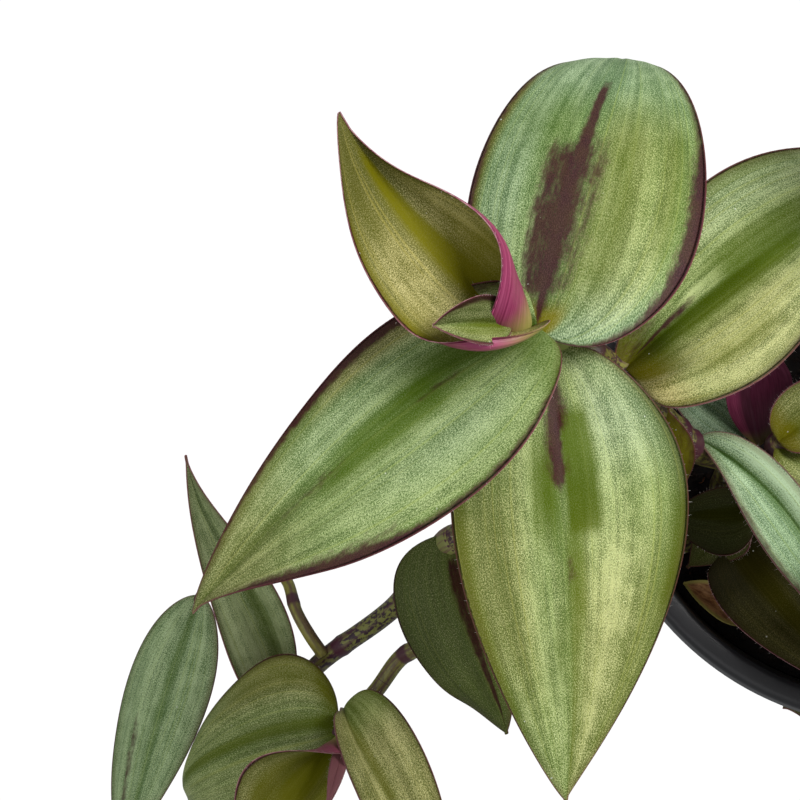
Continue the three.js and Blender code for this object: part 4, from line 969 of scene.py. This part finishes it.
def add_sheath(skin, stem, form, hairs):
    """The thin sleeve that a leaf's base wraps round its stem, open and slanted at its top."""
    path = stem["path"]
    start = float(length_along(path, form["on"][1]))
    long = min(form["sheath"], float(length_along(path, 1.0)) - start - SHEATH_SPARE)
    if long < SHORTEST_SHEATH:
        return
    fine = np.linspace(0, 1, CURVE_STEPS)
    s = np.linspace(start - SHEATH_BELOW, start + long, SHEATH_ROWS)
    t = np.interp(s, length_along(path, fine), fine)
    P, T, N, B = frames_along(path, t)
    rise = np.linspace(0, 1, SHEATH_ROWS)
    r = stem_radius(stem, t, P) * 1.02 + mix(*SHEATH_GAP, rise) + SHEATH_BELLY * np.sin(math.pi * rise)
    a, way = round_about(N, B, SHEATH_SIDES)
    towards = unit(np.asarray(form["tip"], float) - form["root"])
    slant = SHEATH_SLANT * long * (way @ towards) * rise[:, None]
    outer = P[:, None] + way * r[:, None, None] - T[:, None] * slant[..., None]
    marks = dict(run=round_run(a, r, s), share=rise[:, None, None], paint=0.0,
                 tint=(form["warm"], form["under"], form["dim"]))
    n = skin.add(outer, **marks)
    m = skin.add(outer - way * SHEATH_THICK, **marks)
    skin.sheet(n, SHEATH, flip=True, around=True)
    skin.sheet(m, SHEATH, around=True)
    skin.strip(m[-1], n[-1], SHEATH, around=True)
    skin.strip(n[0], m[0], SHEATH, around=True)
    hairs.append((outer[-1], unit(way[-1] * 0.5 + T[-1] * 0.9), HAIR_LENGTHS["mouth"]))
    hairs.append((0.5 * (outer[-2] + outer[-3]), unit(way[-2] + T[-2] * 0.4), HAIR_LENGTHS["sleeve"]))


def add_margin_hairs(form, number, hairs):
    """Short hairs along both margins of a blade, thick near its base and sparse further out."""
    dice = random_row(104729 + 17 * number)
    shares = [i / MARGIN_HAIRS for i in range(MARGIN_HAIRS)] * 2
    u = np.array([0.02 + 0.6 * share**1.5 + 0.02 * next(dice) for share in shares])
    v = np.repeat([-1.0, 1.0], MARGIN_HAIRS)
    at, normal, _ = leaf_points(form, u, v)
    inside = leaf_points(form, u, v * 0.9)[0]
    tilt = np.array([mix(-0.5, 0.7, next(dice)) for _ in u])
    out = unit(unit(at - inside) + normal * tilt[:, None])
    hairs.append((at - out * 0.1, out, HAIR_LENGTHS["margin"]))


# ---- materials ----------------------------------------------------------------------------------
def add(tree, kind, links=None, **settings):
    """Adds a node: settings are its own values, links its inputs, each a value, a colour in hex, a
    socket or a node."""
    node = tree.nodes.new(kind)
    for name, value in settings.items():
        setattr(node, name, value)
    for name, value in (links or {}).items():
        socket = node.inputs[name]
        if isinstance(value, str) and value.startswith("#"):
            value = colour(value)
        if isinstance(value, bpy.types.Node):
            value = next(o for o in value.outputs if o.enabled)
        if isinstance(value, bpy.types.NodeSocket):
            tree.links.new(value, socket)
        else:
            socket.default_value = value
    return node


def colour(hex_value):
    """An sRGB hex colour as linear red, green, blue and alpha."""
    parts = [int(hex_value[i:i + 2], 16) / 255 for i in (1, 3, 5)]
    return [c / 12.92 if c <= 0.04045 else ((c + 0.055) / 1.055) ** 2.4 for c in parts] + [1.0]


class Finish:
    """A material as it is made up. A term is a number or a socket, or a tuple of them to multiply.

    A number beside a place in millimetres says how many grains or stripes there are to one
    millimetre, beside u or v how many to a blade or to half of it, and a scale how many to a metre
    of the object. The sizes that this gives are in the comments.
    """

    def __init__(self, name):
        self.material = bpy.data.materials.new(name)
        self.material.use_nodes = True
        self.tree = self.material.node_tree
        self.tree.nodes.clear()

    def marks(self, name):
        """The three numbers that each point has under a name."""
        value = add(self.tree, "ShaderNodeAttribute", attribute_name=name)
        return list(add(self.tree, "ShaderNodeSeparateXYZ", {0: value.outputs["Vector"]}).outputs)

    def here(self):
        """Places on the object."""
        return add(self.tree, "ShaderNodeTexCoord").outputs["Object"]

    def total(self, *terms):
        """The sum of the terms."""
        whole = None
        for term in terms:
            value, *factors = term if isinstance(term, tuple) else (term,)
            for factor in factors:
                value = add(self.tree, "ShaderNodeMath", {0: value, 1: factor}, operation="MULTIPLY")
            if whole is not None:
                value = add(self.tree, "ShaderNodeMath", {0: whole, 1: value}, operation="ADD")
            whole = value
        return whole

    def mask(self, none, full, *terms):
        """Goes from 0, where the terms add up to none, to 1, where they add up to full."""
        return add(self.tree, "ShaderNodeMapRange", {0: self.total(*terms), 1: none, 2: full},
                   interpolation_type="SMOOTHSTEP")

    def coats(self, ground, *coats):
        """A ground colour with others laid over it in turn, each with how much of it shows."""
        for much, shade in coats:
            ground = add(self.tree, "ShaderNodeMix", {0: self.total(much), 6: ground, 7: shade},
                         data_type="RGBA")
        return ground

    def clouding(self, place, scale=1.0, detail=2.0, roughness=0.5):
        """Noise at a place, which is a socket or three terms."""
        if isinstance(place, tuple):
            x, y, z = (self.total(term) for term in place)
            place = add(self.tree, "ShaderNodeCombineXYZ", {0: x, 1: y, 2: z})
        return add(self.tree, "ShaderNodeTexNoise",
                   {"Vector": place, "Scale": scale, "Detail": detail, "Roughness": roughness})

    def done(self, skin, roughness, relief=None, **more):
        """The finished material. relief: strength, depth in millimetres and the height it follows."""
        if relief:
            strength, depth, height = relief
            more["Normal"] = add(self.tree, "ShaderNodeBump",
                                 {"Strength": strength, "Distance": depth * MM, "Height": height})
        body = add(self.tree, "ShaderNodeBsdfPrincipled",
                   {"Base Color": skin, "Roughness": roughness, **more})
        add(self.tree, "ShaderNodeOutputMaterial", {"Surface": body})
        return self.material


def leaf_upper():
    """Upper epidermis: waxy, with air-filled cells that show as a fine silver grain along the veins.
    The silver is partly painted highlight, and its brightest specks are painted glints.
    """
    made = Finish("leaf_upper_face")
    along, over, seed = made.marks("run")
    u, v, to_edge = made.marks("share")
    purple, plain, silver = made.marks("paint")
    warm, blue, dim = made.marks("tint")
    # On a large leaf the stripes between the veins are 1 mm wide, in bands of 4 mm, and the clouds
    # over them 3.6 by 2.5 mm. The grains are 0.25 by 0.15 mm, and the vein lines 0.5 mm apart.
    streak = made.mask(0.3, 0.7, made.clouding(((u, 2.0), (v, 17.0), seed), detail=3.0, roughness=0.6))
    broad = made.mask(0.3, 0.7, made.clouding(((u, 1.6), (v, 4.5), seed)))
    cloud = made.mask(0.3, 0.7, made.clouding(((along, 0.28), (over, 0.4), seed), detail=3.0, roughness=0.6))
    grain = made.mask(0.25, 0.75, made.clouding(((along, 4.0), (over, 6.6), seed), roughness=0.6))
    vein_seed = made.total(seed, 0.5)
    line = made.mask(0.58, 0.72, made.clouding(((u, 0.7), (v, 34.0), vein_seed), detail=1.0))

    green = made.coats("#3b5c0e", (streak, "#587f1f"), (blue, "#44693f"), (warm, "#565809"))
    # The silver coat is partly the leaf's own silver bands and partly painted highlight where the light falls
    # on a blade.
    silver_and_highlight_colour = made.coats("#b8cf84", (blue, "#b1cda6"), (warm, "#cac080"))
    much = made.total((made.total((streak, 0.28), (broad, 0.32), (cloud, 0.3), 0.22), silver))
    lit = made.mask(0.6, 2.1, (grain, 1.45), (much, 1.35))
    lit = add(made.tree, "ShaderNodeMath", {0: lit, 1: 1.4}, operation="POWER")
    bright = made.coats("#335a00", (warm, "#706c00"), ((lit, 0.14), silver_and_highlight_colour))
    veiled = made.total((plain, -0.75), 1.0)
    pale = made.coats("#a5bd5c", (warm, "#b9ac52"))
    # spark and glint are painted glints: bright specks where the silver grain would catch the light.
    spark = (made.mask(0.8, 1.0, grain), made.mask(0.25, 0.7, much), 0.6, veiled)
    glint = made.coats("#dfebc8", (warm, "#eee5b4"))
    brown = (made.mask(2.0, 0.1, to_edge), made.total((broad, 0.45), 0.15))

    # the purple breaks up in tatters of 2.2 by 1.1 mm
    tatter = made.clouding(((along, 0.45), (over, 0.95), seed), detail=4.0, roughness=0.7)
    tatter = made.mask(0.3, 0.7, tatter)
    stain = made.mask(0.65, 1.55, (tatter, 0.42), (grain, 0.3), (cloud, 0.25), (purple, 1.2))
    stain = made.total((stain, made.mask(0.02, 0.2, purple)))
    plum = made.coats("#270c1a", (grain, "#50202e"), ((cloud, 0.3), "#4f3a1a"))
    rim = (made.mask(0.32, 0.08, to_edge), 0.75)

    # dust and scuffs: small white specks in a few of the cells, which are 2.4 mm wide
    place = add(made.tree, "ShaderNodeCombineXYZ", {0: along, 1: over, 2: seed})
    spot = add(made.tree, "ShaderNodeTexVoronoi", {"Vector": place, "Scale": 0.42}).outputs
    luck = add(made.tree, "ShaderNodeSeparateXYZ", {0: spot["Color"]}).outputs[0]
    luck = add(made.tree, "ShaderNodeMath", {0: luck, 1: 2.5}, operation="POWER")
    off = add(made.tree, "ShaderNodeMath", {0: spot["Distance"], 1: luck}, operation="DIVIDE")
    speck = (made.mask(0.09, 0.03, off), 0.7)

    # The near-black #141003 coat is painted shade where a leaf lies in the shade of others, and a random
    # darker tone on grown leaves.
    skin = made.coats(
        green, (lit, silver_and_highlight_colour), ((plain, 0.97), bright), ((line, 0.3, veiled), pale), (spark, glint),
        (brown, "#584a26"), ((stain, 0.95), plum), (rim, "#854c50"), (dim, "#141003"), (speck, "#e8eadf"),
    )
    rough = made.total((grain, -0.12), 0.48)
    height = made.total((line, 0.25), (grain, 0.5))
    gloss = made.total((stain, -0.18), (plain, -0.26), (dim, -0.3), 0.38)
    return made.done(skin, rough, (0.7, 0.12, height), IOR=1.42, **{"Specular IOR Level": gloss})


def leaf_under():
    """Lower epidermis: smooth, magenta to plum with pale fine stripes 0.6 mm wide."""
    made = Finish("leaf_underside")
    seed = made.marks("run")[2]
    u, v, _ = made.marks("share")
    _, magenta, dim = made.marks("tint")
    streak = made.clouding(((u, 4.0), (v, 30.0), seed), detail=3.0, roughness=0.6)
    leafy = made.coats("#7b7a52", (streak, "#8f5a66"))
    pink = made.coats("#7c1f48", (made.mask(0.3, 0.7, streak), "#a94a70"))
    # The last coat, #2c0219, is painted shade on the underside.
    skin = made.coats(leafy, (magenta, pink), ((made.mask(0.16, 0.02, u), 0.75), "#a9b050"), (dim, "#2c0219"))
    return made.done(skin, 0.42, (0.4, 0.1, streak), IOR=1.45)


def leaf_margin():
    """The blade's edge: a thin, dry-looking purple line, with pale patches of painted highlight where the
    light would catch it.
    """
    made = Finish("leaf_margin")
    along, over, seed = made.marks("run")
    # Pale #b98c8c patches, 1.2 mm long, are painted highlight where the light would catch the edge.
    painted_edge_highlight = made.clouding(((along, 0.8), over, seed), detail=3.0)    # patches of 1.2 mm
    return made.done(made.coats("#8a4a58", (made.mask(0.35, 0.65, painted_edge_highlight), "#b98c8c")), 0.5)


def stem_skin():
    """Stem: juicy green under a purple skin that breaks up into dots, and solid purple at each ring."""
    made = Finish("stem_skin")
    x, y, along = made.marks("run")
    warm, mottle, bare = made.marks("tint")
    # dots 0.7 mm wide and 1.2 mm long, and stripes 0.8 mm wide and 13 mm long
    dots = made.clouding((x, y, (along, 0.55)), 1.5, roughness=0.55)
    stripes = made.clouding((x, y, (along, 0.06)), 1.3)
    off = made.total(made.marks("share")[0], -0.4)
    off = add(made.tree, "ShaderNodeMath", {0: off}, operation="ABSOLUTE")
    skin = made.coats(
        "#87974a", (warm, "#a9a742"), (stripes, "#5d4a35"),
        ((made.mask(0.44, 0.56, dots), mottle), "#35202a"), ((made.mask(0.5, 0.62, stripes), 0.5), "#5a3340"),
        ((made.mask(1.5, 0.7, off), 0.92), "#4a1f31"), ((bare, 0.9), "#a3b05a"),
    )
    return made.done(skin, 0.4, (0.5, 0.15, stripes), IOR=1.45)


def sheath_skin():
    """Sheath: a papery sleeve, pale green with magenta lines that fade towards its mouth."""
    made = Finish("sheath")
    x, y, along = made.marks("run")
    rise = made.marks("share")[0]
    warm, magenta, dim = made.marks("tint")
    lines = made.clouding((x, y, (along, 0.08)), 2.2)    # 0.5 mm wide and 6 mm long
    # The last coat, #1a1512, is painted shade, the same as on the sheath's leaf.
    skin = made.coats(
        "#a9b86e", (warm, "#bdbb5c"), ((made.mask(0.42, 0.6, lines), magenta, 0.85), "#8a3a5c"),
        ((made.mask(0.75, 1.0, rise), 0.5), "#c9b79c"), (dim, "#1a1512"),
    )
    return made.done(skin, 0.45, (0.5, 0.1, lines), IOR=1.4)


def dry_leaf_skin():
    """A dead leaf: brown and papery, still yellow green along one margin."""
    made = Finish("dry_leaf")
    along, over, seed = made.marks("run")
    to_edge = made.marks("share")[2]
    blot = made.clouding(((along, 0.5), over, seed), 0.9, detail=5.0, roughness=0.65)    # 2.2 by 1.1 mm
    skin = made.coats("#83532f", (made.mask(0.3, 0.7, blot), "#dcae78"),
                      ((made.mask(1.6, 0.4, to_edge), 0.85), "#bdb862"))
    return made.done(skin, 0.7, (0.8, 0.4, blot))


def hair_skin():
    """Plant hairs: clear and white, in tones that change every 3 mm."""
    made = Finish("plant_hair")
    tone = made.clouding(made.here(), 300.0)
    return made.done(made.coats("#cfc4b8", (tone, "#f4f1ea")), 0.35, IOR=1.5)


def pot_plastic():
    """Black polypropylene, injection moulded: satin, with flow haze 11 mm wide and dust of 0.7 mm."""
    made = Finish("moulded_polypropylene")
    haze = made.clouding(made.here(), 90.0, detail=4.0)
    fine = made.clouding(made.here(), 1500.0)
    dust = (made.mask(0.6, 0.8, (haze, 0.6), (fine, 0.5)), 0.25)
    skin = made.coats("#1a1a1c", (haze, "#2a2a2d"), (dust, "#6a6259"))
    return made.done(skin, made.total((haze, 0.2), 0.34), (0.15, 0.05, fine), IOR=1.49)


def crumb_skin(name, dark, light, roughness=0.9):
    """Peat, bark and stone crumbs: matt, each with its own grain of 1.4 mm."""
    made = Finish(name)
    grain = made.clouding(made.here(), 700.0, detail=4.0, roughness=0.7)
    return made.done(made.coats(dark, (made.mask(0.35, 0.68, grain), light)), roughness, (0.8, 0.4, grain))


# ---- geometry nodes -----------------------------------------------------------------------------
def scatter_tree(name, sizes, one, points_of, skin):
    """A tree that puts a small shape on every point of a mesh, turned and sized, and makes it real.
    sizes: names and values of its inputs."""
    tree = bpy.data.node_groups.new(name, "GeometryNodeTree")
    tree.interface.new_socket("Geometry", in_out="INPUT", socket_type="NodeSocketGeometry")
    tree.interface.new_socket("Geometry", in_out="OUTPUT", socket_type="NodeSocketGeometry")
    for size, value in sizes.items():
        socket = tree.interface.new_socket(size, in_out="INPUT", socket_type="NodeSocketFloat")
        socket.default_value = value
    given = add(tree, "NodeGroupInput").outputs
    cloud, turn, scale = points_of(tree, given)
    many = add(tree, "GeometryNodeInstanceOnPoints",
               {"Points": cloud, "Instance": one(tree, given), "Rotation": turn, "Scale": scale})
    real = add(tree, "GeometryNodeRealizeInstances", {"Geometry": many})
    dressed = add(tree, "GeometryNodeSetMaterial", {"Geometry": real, "Material": skin})
    add(tree, "NodeGroupOutput", {"Geometry": dressed})
    return tree


def evaluated(thing):
    """An object's mesh with its modifiers in it."""
    view = bpy.context.evaluated_depsgraph_get()
    return bpy.data.meshes.new_from_object(thing.evaluated_get(view), depsgraph=view)


def grown_on(source, name, tree, sizes):
    """Runs a tree on an object, with its sizes set, and returns the result as a plain mesh object."""
    modifier = source.modifiers.new("grow", "NODES")
    modifier.node_group = tree
    identifiers = {item.name: item.identifier for item in tree.interface.items_tree if item.in_out == "INPUT"}
    for size, value in sizes.items():
        modifier[identifiers[size]] = value
    mesh = evaluated(source)
    mesh.name = name
    source.modifiers.remove(modifier)
    return new_object(name, mesh)


def hair_piece(hairs, skin):
    """All the hairs as one piece: a thin three-sided cone on each point, along its own direction."""
    at = np.concatenate([h[0] for h in hairs])
    way = np.concatenate([h[1] for h in hairs])
    long = np.concatenate([np.full(len(h[0]), h[2]) for h in hairs])
    mesh = bpy.data.meshes.new("hair_roots")
    mesh.from_pydata((at * MM).tolist(), [], [])
    layer = mesh.attributes.new("way", "FLOAT_VECTOR", "POINT")
    layer.data.foreach_set("vector", way.astype(np.float32).ravel())
    layer = mesh.attributes.new("millimetres", "FLOAT", "POINT")
    layer.data.foreach_set("value", long.astype(np.float32))
    roots = new_object("hair_roots", mesh)
    sizes = {"Root radius": HAIR_ROOT * MM, "Tip radius": HAIR_TIP * MM, "Shortest": 0.5, "Longest": 1.3}

    def one_hair(tree, given):
        """A cone one millimetre long."""
        return add(tree, "GeometryNodeMeshCone", {
            "Vertices": 3, "Radius Top": given["Tip radius"], "Radius Bottom": given["Root radius"],
            "Depth": MM}).outputs[0]

    def on_roots(tree, given):
        direction = add(tree, "GeometryNodeInputNamedAttribute", {"Name": "way"}, data_type="FLOAT_VECTOR")
        turn = add(tree, "FunctionNodeAlignRotationToVector", {"Vector": direction}, axis="Z")
        length = add(tree, "GeometryNodeInputNamedAttribute", {"Name": "millimetres"}, data_type="FLOAT")
        luck = add(tree, "FunctionNodeRandomValue", {2: given["Shortest"], 3: given["Longest"], "Seed": 5},
                   data_type="FLOAT")
        tall = add(tree, "ShaderNodeMath", {0: length, 1: luck.outputs[1]}, operation="MULTIPLY")
        return given["Geometry"], turn, add(tree, "ShaderNodeCombineXYZ", {0: 1.0, 1: 1.0, 2: tall})

    tree = scatter_tree("grow_hairs", sizes, one_hair, on_roots, skin)
    made = grown_on(roots, "margin_and_sheath_hairs", tree, sizes)
    bpy.data.objects.remove(roots)
    return made


def crumb_piece(ground, name, skin, density, smallest, largest, seed, flat):
    """Loose bits that lie on the soil: lumps with a few faces, pressed flat by `flat`."""
    sizes = {"Density": density, "Smallest": smallest, "Largest": largest}

    def one_crumb(tree, given):
        """A lump one millimetre wide."""
        ball = add(tree, "GeometryNodeMeshIcoSphere", {"Radius": 0.5 * MM, "Subdivisions": 1}).outputs[0]
        push = add(tree, "FunctionNodeRandomValue", {0: (-0.2 * MM,) * 3, 1: (0.2 * MM,) * 3, "Seed": seed},
                   data_type="FLOAT_VECTOR")
        return add(tree, "GeometryNodeSetPosition", {"Geometry": ball, "Offset": push.outputs[0]})

    def on_ground(tree, given):
        cloud = add(tree, "GeometryNodeDistributePointsOnFaces",
                    {"Mesh": given["Geometry"], "Density": given["Density"], "Seed": seed})
        turn = add(tree, "FunctionNodeRandomValue", {0: (0, 0, 0), 1: (0.9, 0.9, 6.28), "Seed": seed + 1},
                   data_type="FLOAT_VECTOR")
        size = add(tree, "FunctionNodeRandomValue",
                   {2: given["Smallest"], 3: given["Largest"], "Seed": seed + 2}, data_type="FLOAT")
        stretch = add(tree, "FunctionNodeRandomValue",
                      {0: (0.7, 0.7, flat), 1: (1.5, 1.1, flat * 1.3), "Seed": seed + 3},
                      data_type="FLOAT_VECTOR")
        scale = add(tree, "ShaderNodeVectorMath", {0: stretch.outputs[0], 3: size.outputs[1]},
                    operation="SCALE")
        return cloud.outputs[0], turn.outputs[0], scale

    return grown_on(ground, name, scatter_tree("scatter_" + name, sizes, one_crumb, on_ground, skin), sizes)


# ---- pot and soil -------------------------------------------------------------------------------
def plain_object(name, points, faces, skin):
    """An object from rows of points, in metres, and its faces."""
    mesh = bpy.data.meshes.new(name)
    mesh.from_pydata(np.asarray(points).tolist(), [], faces)
    mesh.materials.append(skin)
    return new_object(name, mesh)


def wall_radius(z):
    return mix(BASE_RADIUS, RIM_RADIUS - LIP_WIDTH + 1.0, z / POT_HEIGHT)


def arc(centre, radius, start, end, count):
    a = np.radians(np.linspace(start, end, count))
    return [(centre[0] + radius * math.cos(t), centre[1] + radius * math.sin(t)) for t in a]


def ring(radius, z, sides, centre=(0.0, 0.0)):
    """Points all round a circle at the height z."""
    a = TURN * np.arange(sides) / sides
    x, y = centre[0] + radius * np.cos(a), centre[1] + radius * np.sin(a)
    return np.stack([x, y, np.full(sides, float(z))], -1)


def around(sides):
    """Each side's number and the next one's."""
    return [(k, (k + 1) % sides) for k in range(sides)]


def between(low, high, sides):
    """Quads between two rings whose points start at the numbers low and high."""
    return [(low + k, low + n, high + n, high + k) for k, n in around(sides)]


def pot_profile():
    """Radii and heights of the pot, from the middle of its base round the outside to the inside."""
    h, R = POT_HEIGHT, RIM_RADIUS
    mouth = R - LIP_WIDTH + MOUTH_ROUND
    base = [(0.0, FOOT_RISE), (FOOT_RING, FOOT_RISE), (FOOT_RING + 0.8, 0.0), (BASE_RADIUS - 1.2, 0.0),
            (BASE_RADIUS - 0.4, 0.35), (BASE_RADIUS, 1.2)]
    wall = [(wall_radius(z) + out, z) for z, out in (
        (LOWER_STEP, 0), (LOWER_STEP + STEP_SLOPE, STEP_DEPTH), (h - UPPER_STEP, STEP_DEPTH),
        (h - UPPER_STEP + STEP_SLOPE, 0), (h - SKIRT, 0), (h - 3.6, 0.1))]
    skirt = [(R - 1.9, h - 3.2), (R - LIP_ROUND, h - 3.6), (R - LIP_ROUND, h - SKIRT + 0.3),
             (R - 1.1, h - SKIRT), (R - 0.25, h - SKIRT), (R, h - SKIRT + 0.3)]
    lip = [*arc((R - LIP_ROUND, h - LIP_ROUND), LIP_ROUND, 0, 90, 7),
           *arc((mouth, h - MOUTH_ROUND), MOUTH_ROUND, 90, 180, 7)]
    inside = [(wall_radius(z) - POT_WALL - more, z) for z, more in (
        (h - 8, 0), (POT_FLOOR + 1.5, 0), (POT_FLOOR, 1.5))]
    return [*base, *wall, *skirt, *lip, *inside, (0.0, POT_FLOOR)]


def turned_body(skin):
    """The pot before its drain holes: rounded foot, tapered wall with two steps, rolled lip and skirt."""
    (_, low), *rows, (_, high) = pot_profile()
    points = np.concatenate([ring(r, z, POT_SIDES) for r, z in rows] + [[(0, 0, low), (0, 0, high)]])
    faces = []
    for i in range(len(rows) - 1):
        faces += between(i * POT_SIDES, (i + 1) * POT_SIDES, POT_SIDES)
    bottom, inside, last = len(points) - 2, len(points) - 1, (len(rows) - 1) * POT_SIDES
    for k, n in around(POT_SIDES):
        faces += [(bottom, n, k), (inside, last + k, last + n)]
    return plain_object("nursery_pot", points * MM, faces, skin)


def drain_drill(skin):
    """One closed post for each drain hole in the pot's base."""
    points, faces = [], []
    for i in range(DRAINS):
        a = TURN * i / DRAINS + DRAIN_TURN
        centre = (DRAIN_RING * math.cos(a), DRAIN_RING * math.sin(a))
        points += [ring(DRAIN_RADIUS, z, DRAIN_SIDES, centre) for z in DRILL_HEIGHTS]
        low, high = 2 * i * DRAIN_SIDES, (2 * i + 1) * DRAIN_SIDES
        faces.append(range(low, high)[::-1])
        faces.append(range(high, high + DRAIN_SIDES))
        faces += between(low, high, DRAIN_SIDES)
    return plain_object("drain_drill", np.concatenate(points) * MM, faces, skin)


def nursery_pot(skin):
    """The pot with its drain holes, smooth except over its sharp edges."""
    pot, drill = turned_body(skin), drain_drill(skin)
    cut = pot.modifiers.new("drains", "BOOLEAN")
    cut.object = drill
    cut.operation = "DIFFERENCE"
    cut.solver = "EXACT"
    mesh = evaluated(pot)
    pot.modifiers.remove(cut)
    pot.data = mesh
    bpy.data.objects.remove(drill)
    mesh.polygons.foreach_set("use_smooth", np.ones(len(mesh.polygons), bool))
    mesh.set_sharp_from_angle(angle=math.radians(SHARP_ANGLE))
    return pot


def soil_bumps(x, y):
    return 0.5 * SOIL_BUMP * (np.sin(0.21 * x + 1.3) * np.cos(0.19 * y)
                              + np.sin(0.33 * (x + y)) * np.cos(0.27 * (x - y) + 0.8))


def soil_plug(skin):
    """The soil: a full plug with a crumbly top."""
    base = wall_radius(SOIL_BASE) - POT_WALL - SOIL_GAPS[0]
    edge = wall_radius(SOIL_TOP) - POT_WALL - SOIL_GAPS[1]
    draw = np.random.default_rng(19)
    points = [[(0.0, 0.0, SOIL_TOP + soil_bumps(0.0, 0.0))]]
    for i in range(1, SOIL_RINGS + 1):
        row = ring(edge * i / SOIL_RINGS, SOIL_TOP, SOIL_SIDES)
        rough = draw.uniform(-SOIL_CRUMBLE, SOIL_CRUMBLE, SOIL_SIDES) * (i < SOIL_RINGS)
        row[:, 2] += soil_bumps(row[:, 0], row[:, 1]) * (1 - (i / SOIL_RINGS) ** 8)
        row[:, 2] += rough
        points.append(row)
    points += [ring(base, SOIL_BASE, SOIL_SIDES), [(0.0, 0.0, SOIL_BASE)]]
    points = np.concatenate(points)
    lowest = 1 + SOIL_RINGS * SOIL_SIDES
    faces = []
    for k, n in around(SOIL_SIDES):
        faces.append((0, 1 + k, 1 + n))
        for inner in range(1, lowest, SOIL_SIDES):
            outer = inner + SOIL_SIDES
            faces.append((inner + k, outer + k, outer + n, inner + n))
        faces.append((len(points) - 1, lowest + n, lowest + k))
    soil = plain_object("potting_soil", points * MM, faces, skin)
    soil.data.polygons.foreach_set("use_smooth", np.ones(len(faces), bool))
    return soil


def soil_top_only(soil, skin):
    """The soil's upper face alone, inset from the wall, for the crumbs to lie on."""
    keep = (wall_radius(SOIL_TOP) - POT_WALL - CRUMBS_INSET) * MM
    vertices = soil.data.vertices
    held = [v.co.z > 50 * MM and v.co.xy.length < keep for v in vertices]
    faces = [tuple(p.vertices) for p in soil.data.polygons if all(held[i] for i in p.vertices)]
    return plain_object("soil_top", [v.co for v in vertices], faces, skin)


# ---- the object ---------------------------------------------------------------------------------
def dress(piece, slot, *nodes):
    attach(piece, "root")
    if nodes:
        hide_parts(*nodes)


def build_plants():
    skins = [leaf_upper(), leaf_under(), leaf_margin(), stem_skin(), sheath_skin()]
    dry = dry_leaf_skin()
    shown = [placed_plant(given) for given in (CROWN, TRAILING, HEART, LOW, WITHERED)]
    hairs = []
    number = 0
    for plant in [*shown, *grown_plants()]:
        node = plant["node"]
        is_dry = node == WITHERED["node"]
        fineness = FINE_BLADE if node in (CROWN["node"], TRAILING["node"]) else PLAIN_BLADE
        stems = [{**stem, "path": stem.get("finer", stem["path"])} for stem in plant["stems"]]
        skin = Skin()
        for stem in stems:
            add_stem(skin, stem)
        for form in plant["leaves"]:
            form = {**form, **form["finer"]}
            number += 1
            add_blade(skin, form, number, *fineness)
            if not is_dry:
                add_sheath(skin, stems[form["on"][0]], form, hairs)
                add_margin_hairs(form, number, hairs)
        piece = skin.mesh(node + "_grown", [dry] * len(skins) if is_dry else skins)
        dress(piece, "dry_leaf" if is_dry else "leaf", node)
    dress(hair_piece(hairs, hair_skin()), "leaf")


def build_pot_and_soil():
    dress(nursery_pot(pot_plastic()), "pot_plastic", "pot")
    peat = crumb_skin("peat", "#060504", "#1c140e")
    soil = soil_plug(peat)
    top = soil_top_only(soil, peat)
    dress(soil, "soil", "soil")
    for name, finish, density, smallest, largest, seed, flat in LOOSE_BITS:
        dress(crumb_piece(top, name, crumb_skin(*finish), density, smallest, largest, seed, flat), "soil")
    bpy.data.objects.remove(top)


# ---- studio -------------------------------------------------------------------------------------
def white_paper():
    """Paper that is lit from behind."""
    made = Finish("white_paper")
    paper = made.coats("#fefefe", (made.clouding(made.here(), 3.0), "#ffffff"))
    glow = add(made.tree, "ShaderNodeEmission", {"Color": paper, "Strength": PAPER_GLOW})
    add(made.tree, "ShaderNodeOutputMaterial", {"Surface": glow})
    return made.material


def build_camera(scene):
    camera = new_object("camera", bpy.data.cameras.new("camera"))
    camera.data.sensor_width = 36
    camera.data.sensor_fit = "HORIZONTAL"
    camera.data.angle = math.radians(CAMERA_FOV)
    camera.data.clip_start = 0.01
    camera.location = [c * MM for c in CAMERA_AT]
    camera.rotation_euler = (math.radians(CAMERA_TILT), 0, 0)
    scene.camera = camera


def build_floor():
    corners = [(x * FLOOR_HALF, y * FLOOR_HALF, 0) for x, y in ((-1, -1), (1, -1), (1, 1), (-1, 1))]
    floor = plain_object("floor", corners, [(0, 1, 2, 3)], white_paper())
    floor.location.z = -FLOOR_DROP
    floor.visible_diffuse = False
    floor.visible_glossy = False


def build_lights(scene):
    world = bpy.data.worlds.new("studio")
    world.use_nodes = True
    world.node_tree.nodes["Background"].inputs[0].default_value = WORLD_TINT
    world.node_tree.nodes["Background"].inputs[1].default_value = WORLD_LIGHT
    scene.world = world
    for name, place, size, power in LIGHTS:
        light = new_object(name, bpy.data.lights.new(name, "AREA"))
        light.data.size = size
        light.data.energy = power
        light.location = place
        x, y, z = np.subtract(LIGHTS_AIM, place)
        light.rotation_euler = (math.atan2(math.hypot(x, y), -z), 0, math.atan2(x, -y) + math.pi)


def build_studio():
    scene = bpy.context.scene
    scene.view_settings.view_transform = "Standard"
    build_camera(scene)
    build_floor()
    build_lights(scene)


build_studio()
build_pot_and_soil()
build_plants()
